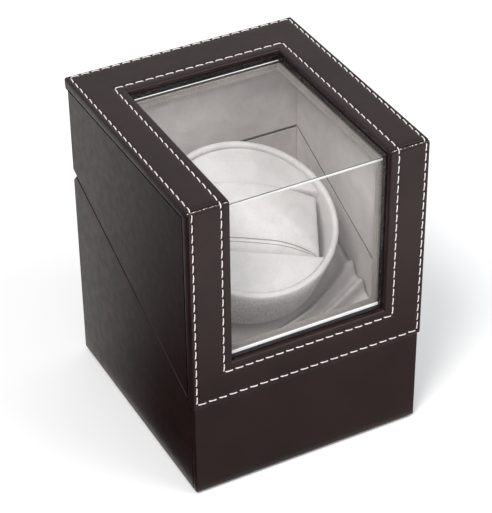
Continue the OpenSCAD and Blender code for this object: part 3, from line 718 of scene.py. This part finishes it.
def velvet_board(name, corners, inward, thickness, body, node, seed, slope=0.0):
    """Velvet over a thin board: soft edges, a low crown and slight waves. Its edge faces take near-black
    velvet, painted shade for the gaps between boards.

    corners run round the face that shows, and slope tilts the board's low edge.
    """
    a, b, c, d = (Vector(p) for p in corners)
    n = Vector(inward).normalized()
    width, height = (b - a).length, (d - a).length
    soft = min(0.3, thickness * 0.3)
    near = [0, 0.05, 0.2, 0.45, 0.8, 1.6]

    def grid(length):
        marks = lines(near, [length - v for v in near])
        return [v / length for v in fill_steps(marks, length / BOARD_CELLS)]

    us, vs = grid(width), grid(height)
    verts, faces = [], []
    for layer in (0, 1):
        for u in us:
            for v in vs:
                p = a.lerp(b, u).lerp(d.lerp(c, u), v)
                if layer == 0:
                    edge = min(u, 1 - u) * width, min(v, 1 - v) * height
                    drop = rounding(min(edge), soft)
                    wave = noise.noise(Vector((u * width, v * height, seed * 7.0)) * 0.055)
                    drop += 0.16 * (0.6 + wave) * (1 - math.exp(-min(edge) / 4))
                    p = p - n * drop
                else:
                    p = p - n * thickness
                    p.z += slope * thickness * (1 - v)
                verts.append(p)
    nu, nv = len(us), len(vs)
    under = nu * nv
    for i in range(nu - 1):
        for j in range(nv - 1):
            q = (i * nv + j, (i + 1) * nv + j, (i + 1) * nv + j + 1, i * nv + j + 1)
            faces.append(q)
            faces.append(tuple(k + under for k in reversed(q)))
    for i in range(nu - 1):
        for j in (0, nv - 1):
            p, q = i * nv + j, (i + 1) * nv + j
            faces.append((p, p + under, q + under, q))
    for j in range(nv - 1):
        for i in (0, nu - 1):
            p, q = i * nv + j, i * nv + j + 1
            faces.append((p, p + under, q + under, q))
    obj = piece(name, verts, faces, "grey_velvet", body, [node])
    # The edge faces are painted near-black as the shade in the gaps between boards.
    obj.data.materials.append(BOARD_EDGE_SHADE)
    for face in obj.data.polygons:
        face.material_index = int(abs(face.normal.dot(n)) < 0.3)
    obj.data.set_sharp_from_angle(angle=math.radians(55))


def over_seam(y, h):
    """Height where the plane h above the seam crosses y."""
    return seam_z(y) + h / math.cos(TILT)


# Heights over the seam, square to it
CLOTH_H, BASE_LINER_LOW = -19.0, -23.5
COLLAR_H, LID_LINER_H = 4.6, 5.7
BASE_LINER_FRONT, BASE_LINER_BACK = -64.6, 54.6
LID_BACK_HALF, BASE_END_HALF = 62.7, 61.4


def side_wall(x, y0, y1, low, high):
    """Corners of an upright board across x; low and high give the heights of its edges at y."""
    return [(x, y0, low(y0)), (x, y1, low(y1)), (x, y1, high(y1)), (x, y0, high(y0))]


def end_wall(x0, x1, y, low, high):
    """Corners of an upright board across y, from x0 to x1."""
    return [(x0, y, low), (x1, y, low), (x1, y, high), (x0, y, high)]


def liners():
    for side, word in ((-1, "left"), (1, "right")):
        inward = (-side, 0, 0)
        x = side * ROOM_X
        velvet_board(
            f"lid_{word}_lining",
            side_wall(x, RETAINER_Y, ROOM_BACK, lambda y: over_seam(y, LID_LINER_H), lambda y: RETAINER_Z),
            inward, SIDE_IN - ROOM_X, "lid", f"lid_{word}_liner", 1 + side,
        )
        low, high = (lambda y: over_seam(y, BASE_LINER_LOW)), (lambda y: over_seam(y, COLLAR_H))
        velvet_board(
            f"base_{word}_lining", side_wall(x, BASE_LINER_FRONT, BASE_LINER_BACK, low, high),
            inward, 1.0, "base", f"base_{word}_liner", 4 + side,
        )
    low = over_seam(ROOM_BACK, LID_LINER_H)
    velvet_board(
        "lid_back_lining", end_wall(-LID_BACK_HALF, LID_BACK_HALF, ROOM_BACK, low, RETAINER_Z),
        (0, -1, 0), 4.4, "lid", "lid_back_liner", 8, slope=math.tan(TILT),
    )
    low, high = over_seam(ROOM_BACK, BASE_LINER_LOW), over_seam(ROOM_BACK, COLLAR_H) - 0.1
    velvet_board(
        "base_back_lining", end_wall(-BASE_END_HALF, BASE_END_HALF, ROOM_BACK, low, high),
        (0, -1, 0), 1.2, "base", "base_back_liner", 9,
    )
    low, high = over_seam(ROOM_FRONT, BASE_LINER_LOW), over_seam(BASE_LINER_FRONT, COLLAR_H)
    velvet_board(
        "base_front_lining", end_wall(BASE_END_HALF, -BASE_END_HALF, ROOM_FRONT, low, high),
        (0, 1, 0), 1.25, "base", "base_front_liner", 10,
    )


liners()
soften("platform", 0.3, 2)


# ------------------------------------------------------------ platform cloth


def bump_along(path, x, v):
    """Height of one fold of cloth that follows path, a list of (x, v, height, half width)."""
    best, height = 1e9, 0.0
    for (x0, v0, h0, w0), (x1, v1, h1, w1) in zip(path, path[1:]):
        dx, dv = x1 - x0, v1 - v0
        t = max(0.0, min(1.0, ((x - x0) * dx + (v - v0) * dv) / (dx * dx + dv * dv)))
        d = math.hypot(x - x0 - dx * t, v - v0 - dv * t) / (w0 + (w1 - w0) * t)
        if d < best:
            best, height = d, (h0 + (h1 - h0) * t) * math.exp(-0.8 * d * d * (1 + 0.5 * d))
    return height


# Each fold's line over the platform: across, up the slope, height and half width
FOLDS = (
    [
        (60.5, -25, 8.5, 3.4), (51, -31.5, 10.5, 3.3), (42.5, -36.5, 10.8, 3.1),
        (33, -41.5, 10.0, 2.8), (22, -46, 8.6, 2.5), (9, -49, 7.0, 2.2),
        (-8, -51.5, 5.4, 2.0), (-24, -52.5, 3.4, 2.2), (-40, -51, 0.4, 2.4),
    ],
    [
        (60.8, -37, 8.4, 3.3), (51, -41.5, 9.4, 3.1), (41, -46, 8.6, 2.7), (30, -49.8, 6.6, 2.3),
        (17, -52.5, 4.6, 2.1), (3, -54.5, 2.8, 2.0), (-12, -56.5, 0.4, 2.2),
    ],
    [
        (60.8, -50, 5.4, 3.0), (50, -53, 5.4, 2.8), (38, -56, 4.0, 2.5),
        (24, -58, 2.2, 2.2), (8, -58.5, 0.3, 2.2),
    ],
    [(57, 2, 0.3, 2.6), (58.5, -10, 3.4, 2.6), (56.5, -20, 5.0, 2.4), (52.5, -27, 5.6, 2.0)],
    [(-58, -34, 2.8, 2.6), (-50, -44, 3.8, 2.4), (-38, -52, 2.8, 2.4), (-24, -58, 0.5, 2.4)],
)
# The cloth covers the sloping floor of the room, 121.8 x 127.3 mm: its gap to the walls, grid step and
# thickness, in millimetres
CLOTH_GAP, CLOTH_STEP, CLOTH_THICK = 0.6, 1.3, 0.55
# Under the cup the cloth stays below this height, and outside this radius it may rise
UNDER_CUP_H, UNDER_CUP_R, UNDER_CUP_RISE = -8.6, 49.5, 2.4
HUB_HOLE_R = 6.0


def platform_cloth():
    y0, y1 = ROOM_FRONT + 0.5, ROOM_BACK - CLOTH_GAP
    v0, v1 = ((y - AXIS_Y + CLOTH_H * math.sin(TILT)) / math.cos(TILT) for y in (y0, y1))
    x1 = ROOM_X - CLOTH_GAP
    xs, vs = fill_steps([-x1, x1], CLOTH_STEP), fill_steps([v0, v1], CLOTH_STEP)
    verts, faces = [], []
    for x in xs:
        for v in vs:
            rise = sum(bump_along(path, x, v) for path in FOLDS)
            rise *= min(1.0, (ROOM_X - abs(x)) / 4.0) ** 0.5
            wrinkle = noise.noise(Vector((x * 0.06, v * 0.16, 2.0)))
            h = CLOTH_H - 0.35 + rise + 0.22 * (wrinkle + 1)
            spread = math.hypot(x, v)
            cap = UNDER_CUP_H + max(0.0, spread - UNDER_CUP_R) * UNDER_CUP_RISE
            verts.append(SEAM_FRAME @ Vector((x, v, min(h, cap))))
    nv = len(vs)
    for i in range(len(xs) - 1):
        for j in range(nv - 1):
            if math.hypot((xs[i] + xs[i + 1]) / 2, (vs[j] + vs[j + 1]) / 2) > HUB_HOLE_R:
                faces.append((i * nv + j, (i + 1) * nv + j, (i + 1) * nv + j + 1, i * nv + j + 1))
    used = sorted({k for f in faces for k in f})
    index = {k: n for n, k in enumerate(used)}
    obj = piece(
        "platform_velvet", [verts[k] for k in used], [tuple(index[k] for k in f) for f in faces],
        "grey_velvet", "base", ["platform_cloth"], SLOTS["cushion_velvet"],
    )
    thick = obj.modifiers.new("thickness", "SOLIDIFY")
    thick.thickness = CLOTH_THICK * MM
    thick.offset = -1


platform_cloth()


# ------------------------------------------------------------ rotor

RIM_H, CUP_LOW = 24.6, -7.4
CUP_R_TOP, CUP_R_LOW = 48.8, 47.0
CUP_WALL, CUP_FLOOR_T = 3.3, 3.0
CHANNEL = 20.3
PAD_TOP = 23.6


def cup_r(h):
    return CUP_R_LOW + (CUP_R_TOP - CUP_R_LOW) * (h - CUP_LOW) / (RIM_H - CUP_LOW)


def rotor_cup():
    rim_c = RIM_H - CUP_WALL / 2
    profile = [(9.0, CUP_LOW), (24, CUP_LOW), (38, CUP_LOW), (cup_r(CUP_LOW) - 1.8, CUP_LOW)]
    profile += [(cup_r(CUP_LOW) - 0.8, CUP_LOW + 0.3), (cup_r(CUP_LOW) - 0.15, CUP_LOW + 1.0)]
    profile += [(cup_r(h), h) for h in np.linspace(CUP_LOW + 2, rim_c - 0.5, 16)]
    mid = cup_r(rim_c) - CUP_WALL / 2
    for k in range(15):
        a = math.pi * k / 14
        profile.append((mid + math.cos(a) * CUP_WALL / 2, rim_c + math.sin(a) * CUP_WALL / 2))
    floor_h = CUP_LOW + CUP_FLOOR_T
    profile += [(cup_r(h) - CUP_WALL, h) for h in np.linspace(rim_c - 0.8, floor_h + 0.6, 14)]
    profile += [(cup_r(floor_h) - CUP_WALL - 0.6, floor_h), (24, floor_h), (3.0, floor_h)]
    profile.append((3.0, CUP_LOW + 0.6))
    turns, verts, faces = 160, [], []
    for i in range(turns):
        a = 2 * math.pi * i / turns
        for k, (r, h) in enumerate(profile):
            soft = noise.noise(Vector((math.cos(a) * 9, math.sin(a) * 9, h * 0.14)))
            wall = 1.0 if r > 40 else 0.0
            gather = math.sin(a * 46 + 2.0 * soft) * max(0.0, 1 - abs(h - rim_c) / 3.2)
            pull = 0.16 * soft * wall + 0.10 * wall * gather
            rr = r - 0.12 * wall + (pull if r >= cup_r(h) - CUP_WALL / 2 else -pull * 0.3)
            verts.append(ROTOR_FRAME @ Vector((rr * math.cos(a), rr * math.sin(a), h)))
    n = len(profile)
    for i in range(turns):
        j = (i + 1) % turns
        for k in range(n):
            m = (k + 1) % n
            faces.append((i * n + k, j * n + k, j * n + m, i * n + m))
    obj = piece(
        "rotor_cup_velvet", verts, faces, "grey_velvet", "rotor", ["rotor_cup"], SLOTS["cushion_velvet"]
    )
    obj.data.set_sharp_from_angle(angle=math.radians(60))
    # The outer side below the rim takes the separately toned velvet: painted light on the shaded side.
    obj.data.materials.append(CUP_SIDE_PAINTED_LIGHT)
    for face in obj.data.polygons:
        local = ROTOR_FRAME.inverted() @ (face.center / MM)
        outside = math.hypot(local.x, local.y) > cup_r(local.z) - 1.2
        face.material_index = int(outside and local.z < RIM_H - 3.4)


rotor_cup()


def half_moon(name, side, node):
    """Stuffed half-moon pad: straight towards the cushion, round against the cup."""
    radius = cup_r(PAD_TOP) - CUP_WALL - 0.3
    edge = CHANNEL + 0.1
    start = math.asin(edge / radius)
    outline = []
    arc = 56
    for k in range(arc + 1):
        a = start + (math.pi - 2 * start) * k / arc
        outline.append((radius * math.cos(a), radius * math.sin(a)))
    x_end = outline[-1][0]
    outline += [(x_end + (-2 * x_end) * k / 34, edge) for k in range(1, 34)]
    centre = Vector((0, edge + (radius - edge) * 0.42))
    low = CUP_LOW + CUP_FLOOR_T
    drop, shrink = (3.2, 0.085) if side > 0 else (1.9, 0.045)
    rings = [(1.0, low), (1.0, 4.0), (1.0, 12.0), (1.0, PAD_TOP - drop)]
    for k in range(1, 8):
        a = math.pi / 2 * k / 7
        rings.append((1 - shrink * (1 - math.cos(a)), PAD_TOP - drop + (drop - 0.7) * math.sin(a)))
    for t in (0.86, 0.78, 0.68, 0.57, 0.45, 0.32, 0.18, 0.07):
        rings.append((t, PAD_TOP - 0.7 + 0.85 * (1 - (t / (1 - shrink)) ** 2)))
    verts, faces = [], []
    n = len(outline)
    for t, h in rings:
        taper = (cup_r(min(h, PAD_TOP)) - cup_r(PAD_TOP)) / radius
        for x, v in outline:
            px = centre.x + (x - centre.x) * t
            pv = centre.y + (v - centre.y) * t
            if t == 1.0 and v > edge + 0.5:
                px, pv = px * (1 + taper), max(edge, pv * (1 + taper))
            crease = noise.noise(Vector((px * 0.07, pv * 0.11, 4.0 * side)))
            sag = 0.35 * crease * min(1.0, (1.02 - t) * 6) if h > PAD_TOP - 2 else 0.0
            verts.append(ROTOR_FRAME @ Vector((px, side * pv, h + sag)))
    verts.append(ROTOR_FRAME @ Vector((centre.x, side * centre.y, PAD_TOP + 0.16)))
    for k in range(len(rings) - 1):
        for i in range(n):
            j = (i + 1) % n
            faces.append((k * n + i, k * n + j, (k + 1) * n + j, (k + 1) * n + i))
    last = (len(rings) - 1) * n
    faces += [(last + i, last + (i + 1) % n, len(verts) - 1) for i in range(n)]
    faces.append(tuple(reversed(range(n))))
    obj = piece(name, verts, faces, "grey_velvet", "rotor", [node], SLOTS["cushion_velvet"])
    obj.data.set_sharp_from_angle(angle=math.radians(75))


half_moon("upper_pad_velvet", 1, "upper_pad")
half_moon("lower_pad_velvet", -1, "lower_pad")


# ------------------------------------------------------------ watch cushion

CUSHION_HALF, CUSHION_W = 38.4, 19.4
CUSHION_LOW, CUSHION_SEAM, CUSHION_CREST = -4.0, 20.2, 32.6
CREST_HALF, CREST_V, FAR_SEAM = 3.0, 8.0, 19.2
CUSHION_VOXEL, CUSHION_PRESSURE, CUSHION_FRAMES, CUSHION_MOVE = 1.6, 3.0, 16, 1.3


def seam_half_width(x):
    """Half width of the cushion's top panel: drawn in at the middle, full at the corners."""
    return 12.7 + 6.0 * (abs(x) / CUSHION_HALF) ** 3.4


def cushion_height(x, v):
    """Height of the stuffed top: a crest near the upper side, hips to the corners, gussets at the sides."""
    near = seam_half_width(x)
    seam_h = CUSHION_SEAM + 3.0 * (1 - (abs(x) / CUSHION_HALF) ** 2)
    end = min(1.0, (CUSHION_HALF - abs(x)) / (CUSHION_HALF - CREST_HALF))
    if v < CREST_V:
        side = (v + near) / (CREST_V + near)
    else:
        side = max(0.0, (FAR_SEAM - v) / (FAR_SEAM - CREST_V)) ** 0.15
    if v < -near:
        return seam_h - 4.2 * min(1.0, (-v - near) / max(0.3, CUSHION_W - near)) ** 1.4
    low, high = sorted((max(side, 0.0), end))
    roof = low - 0.012 * math.exp(-(((high - low) / 0.05) ** 2)) * min(1.0, low * 6)
    return seam_h + (CUSHION_CREST - seam_h) * max(0.0, roof) ** 0.86


def watch_cushion():
    xs = fill_steps([-CUSHION_HALF, CUSHION_HALF], 2.2)
    vs = fill_steps([-CUSHION_W, CUSHION_W], 1.6)
    verts, faces, nv = [], [], len(vs)
    for layer in (0, 1):
        for x in xs:
            for v in vs:
                h = cushion_height(x, v) if layer == 0 else CUSHION_LOW
                verts.append((x, v, h))
    under = len(xs) * nv
    for i in range(len(xs) - 1):
        for j in range(nv - 1):
            q = (i * nv + j, (i + 1) * nv + j, (i + 1) * nv + j + 1, i * nv + j + 1)
            faces += [q, tuple(k + under for k in reversed(q))]
        for j in (0, nv - 1):
            faces.append((i * nv + j, i * nv + j + under, (i + 1) * nv + j + under, (i + 1) * nv + j))
    for j in range(nv - 1):
        for i in (0, len(xs) - 1):
            faces.append((i * nv + j, i * nv + j + under, i * nv + j + 1 + under, i * nv + j + 1))
    obj = piece("watch_cushion_velvet", verts, faces, "cushion_velvet", "cushion", ["watch_cushion"])
    obj.parent = None
    obj.matrix_world = Matrix.Identity(4)
    bpy.context.view_layer.objects.active = obj
    obj.select_set(True)
    remesh = obj.modifiers.new("remesh", "REMESH")
    remesh.mode = "VOXEL"
    remesh.voxel_size = CUSHION_VOXEL * MM
    bpy.ops.object.modifier_apply(modifier=remesh.name)
    rest = np.array([v.co for v in obj.data.vertices])
    cloth = obj.modifiers.new("cloth", "CLOTH")
    cloth.settings.use_pressure = True
    cloth.settings.uniform_pressure_force = CUSHION_PRESSURE
    cloth.settings.quality = 4
    cloth.settings.tension_stiffness = cloth.settings.compression_stiffness = 12
    cloth.settings.bending_stiffness = 0.4
    cloth.settings.effector_weights.gravity = 0
    for f in range(1, CUSHION_FRAMES + 1):
        bpy.context.scene.frame_set(f)
    bpy.ops.object.modifier_apply(modifier=cloth.name)
    bpy.context.scene.frame_set(1)
    now = np.array([v.co for v in obj.data.vertices])
    move = now - rest
    far = np.linalg.norm(move, axis=1, keepdims=True)
    move *= np.minimum(1.0, CUSHION_MOVE * MM / np.maximum(far, 1e-9))
    now = rest + move
    limit = np.array([CUSHION_HALF + 0.3, CUSHION_W + 0.5]) * MM
    now[:, :2] = np.clip(now[:, :2], -limit, limit)
    now[:, 2] = np.maximum(now[:, 2], (CUSHION_LOW + 0.05) * MM)
    for vertex, co in zip(obj.data.vertices, now):
        x, v, h = (float(q) / MM for q in co)
        pull = 0.0
        if h > 8:
            gap = abs(v + seam_half_width(x)) if v < 0 else abs(v - FAR_SEAM)
            pull = 0.9 * math.exp(-((gap / 1.0) ** 2))
            pucker = noise.noise(Vector((x * 0.32, v * 0.09, 1.0)))
            dent = noise.noise(Vector((x, v, h)) * 0.13)
            pull += 0.25 * pucker * math.exp(-((gap / 5.0) ** 2)) + 0.16 * dent
        vertex.co = ROTOR_FRAME @ Vector((x, v, h - pull)) * MM
    obj.data.update()
    obj.data.shade_smooth()
    smooth = obj.modifiers.new("smooth", "SMOOTH")
    smooth.factor, smooth.iterations = 0.3, 1
    fine = obj.modifiers.new("fine", "SUBSURF")
    fine.levels = fine.render_levels = 1
    obj.select_set(False)
    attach(obj, "cushion")
    return obj


cushion = watch_cushion()


def cushion_hems():
    """Doubled hem where the top panel is sewn to each gusset, laid on the cushion's own surface. Its darker
    taupe velvet is painted shade along the hem's crease.
    """
    bpy.context.view_layer.update()
    graph = bpy.context.evaluated_depsgraph_get()
    tree = BVHTree.FromObject(cushion, graph)
    up = ROTOR_FRAME.to_3x3() @ Vector((0, 0, 1))
    for side, word in ((-1, "lower"), (1, "upper")):
        parts = []
        for offset, r in ((0.0, 0.30), (1.9, 0.22))[: 2 if side < 0 else 1]:
            points, radii, ups = [], [], []
            for k in range(65):
                x = -CUSHION_HALF + 1.6 + (2 * CUSHION_HALF - 3.2) * k / 64
                inset = offset * (1 - (abs(x) / CUSHION_HALF) ** 3)
                v = FAR_SEAM if side > 0 else -seam_half_width(x) - inset
                high = ROTOR_FRAME @ Vector((x, v, 40)) * MM
                hit = tree.ray_cast(high, -up)[0]
                if hit is None:
                    continue
                points.append(hit / MM + up * (r * 0.15))
                radii.append(r * (0.5 + 0.5 * min(1.0, min(k, 64 - k) / 6)))
                ups.append(up)
            parts.append(tube(points, radii, 8, ups))
        # Darker taupe velvet on the hems: painted shade in the creases along them.
        board = SLOTS["taupe_board"]
        piece(f"cushion_{word}_hem", *join(parts), "cushion_velvet", "cushion", material=board)


cushion_hems()


# ------------------------------------------------------------ carried-over CAD parts

# Edge radius in millimetres, segments, and the nodes that get them
SOFTENED = (
    (0.18, 2, "lid_hinge_leaves base_hinge_leaves"),
    (0.12, 2, "lid_hinge_screws base_hinge_screws hinge_pins gearbox_screws hub_screw gear_axles"),
    (0.25, 2, "lid_hinge_rail base_hinge_rail base_bottom_panel platform_cleats"),
    (0.3, 3, "gearbox_case gearbox_cover rotor_hub motor_can motor_end_cap output_bush"),
    (0.3, 3, "connector_plate dc_jack switch_housing switch_rocker foot_pads"),
    (0.12, 2, "control_board board_standoffs motor_magnets motor_armature output_shaft"),
    (0.06, 1, "first_gear second_gear third_gear output_gear motor_pinion"),
)
for radius, segments, nodes in SOFTENED:
    for node in nodes.split():
        soften(node, radius, segments)
for node in ("power_wires", "motor_wires"):
    wire = welded(node)
    round_off = wire.modifiers.new("round", "SUBSURF")
    round_off.levels = round_off.render_levels = 1
    wire.data.shade_smooth()

for part in frame["record"]["subparts"]:
    node = NODES[part["node"]]
    node.data.materials.clear()
    node.data.materials.append(SLOTS[part["material_slot"]])


# ------------------------------------------------------------ stage, light, camera


FLOOR_HALF, CARD_H = 4, 0.002


def stage_sheet(name, low, high, z, material):
    """Level rectangle in metres that isn't part of the object."""
    (x0, y0), (x1, y1) = low, high
    mesh = bpy.data.meshes.new(name)
    mesh.from_pydata([(x0, y0, z), (x1, y0, z), (x1, y1, z), (x0, y1, z)], [], [(0, 1, 2, 3)])
    mesh.materials.append(material)
    obj = bpy.data.objects.new(name, mesh)
    bpy.context.scene.collection.objects.link(obj)
    return obj


def floor():
    s = Shader("floor_paper", Roughness=0.9, Specular_IOR_Level=0.1)
    s.colour(s.noise(300, 2), (0.3, (0.90, 0.90, 0.90)), (0.7, (0.93, 0.93, 0.93)))
    stage_sheet("floor", (-FLOOR_HALF, -FLOOR_HALF), (FLOOR_HALF, FLOOR_HALF), 0, s.material)


floor()


def area_light(name, at, towards, size, power, colour):
    data = bpy.data.lights.new(name, "AREA")
    data.shape = "DISK"
    data.size, data.energy, data.color = size, power, colour
    obj = bpy.data.objects.new(name, data)
    bpy.context.scene.collection.objects.link(obj)
    obj.location = at
    obj.rotation_euler = (Vector(at) - Vector(towards)).to_track_quat("Z", "Y").to_euler()


area_light("key", (-0.9, -0.72, 1.8), (0, 0, 0.1), 0.7, 26.0, (1.0, 0.985, 0.97))
area_light("fill", (1.1, -1.2, 1.4), (0, 0, 0.1), 1.4, 16.0, (0.98, 0.985, 1.0))


def glossy_card(name, low, high, along, start, end, shade, clear_share):
    """Card on the floor that only reflections see. It fades out from start to end along a direction."""
    s = Shader(f"{name}_card", Roughness=0.9)
    s.tree.nodes.remove(s.bsdf)
    dark, clear, mix = (s.node(k) for k in ("BsdfDiffuse", "BsdfTransparent", "MixShader"))
    dark.inputs["Color"].default_value = (*shade, 1.0)
    reach = s.node("VectorMath", operation="DOT_PRODUCT")
    reach.inputs[1].default_value = along
    fade = s.node("MapRange", interpolation_type="SMOOTHSTEP")
    fade.inputs["From Min"].default_value = start
    fade.inputs["From Max"].default_value = end
    fade.inputs["To Max"].default_value = clear_share
    s.link(s.place, reach.inputs[0])
    s.link(reach.outputs["Value"], fade.inputs["Value"])
    s.link(fade.outputs[0], mix.inputs[0])
    s.link(dark.outputs[0], mix.inputs[1])
    s.link(clear.outputs[0], mix.inputs[2])
    s.link(mix.outputs[0], s.out.inputs[0])
    card = stage_sheet(name, low, high, CARD_H, s.material)
    card.visible_camera = card.visible_diffuse = card.visible_shadow = False
    card.visible_transmission = card.visible_volume_scatter = False


glossy_card(
    "left_flag", (-0.7, -0.5), (-0.068, 1.2), (1.924, 1.0, 0.0), -0.16, -0.03, (0.02, 0.014, 0.012), 0.85
)
glossy_card(
    "front_flag", (-0.068, -0.6), (0.7, -0.072), (0.0, -1.0, 0.0), 0.14, 0.22, (0.34, 0.32, 0.32), 1.0
)

world = bpy.data.worlds.new("studio")
world.use_nodes = True
sky = world.node_tree.nodes["Background"]
sky.inputs["Color"].default_value = (0.97, 0.985, 1.0, 1.0)
sky.inputs["Strength"].default_value = 0.72
bpy.context.scene.world = world
bpy.context.scene.view_settings.view_transform = "Standard"

AZIMUTH, ELEVATION, ROLL = math.radians(-27.6), math.radians(35.87), math.radians(-0.62)
LENS, DISTANCE, SHIFT_RIGHT, SHIFT_UP = 138.6, 1.0463, 0.0009, -0.0029


def camera():
    flat = math.cos(ELEVATION)
    back = Vector((math.sin(AZIMUTH) * flat, -math.cos(AZIMUTH) * flat, math.sin(ELEVATION)))
    right = Vector((math.cos(AZIMUTH), math.sin(AZIMUTH), 0))
    up = back.cross(right)
    data = bpy.data.cameras.new("camera")
    data.lens, data.sensor_width, data.clip_end = LENS, 36, 20
    obj = bpy.data.objects.new("camera", data)
    bpy.context.scene.collection.objects.link(obj)
    at = Vector((0, 0, TOP / 2 * MM)) + right * SHIFT_RIGHT + up * SHIFT_UP + back * DISTANCE
    rolled = right * math.cos(ROLL) + up * math.sin(ROLL)
    above = up * math.cos(ROLL) - right * math.sin(ROLL)
    turn = Matrix((rolled, above, back)).transposed().to_4x4()
    obj.matrix_world = Matrix.Translation(at) @ turn
    bpy.context.scene.camera = obj


camera()
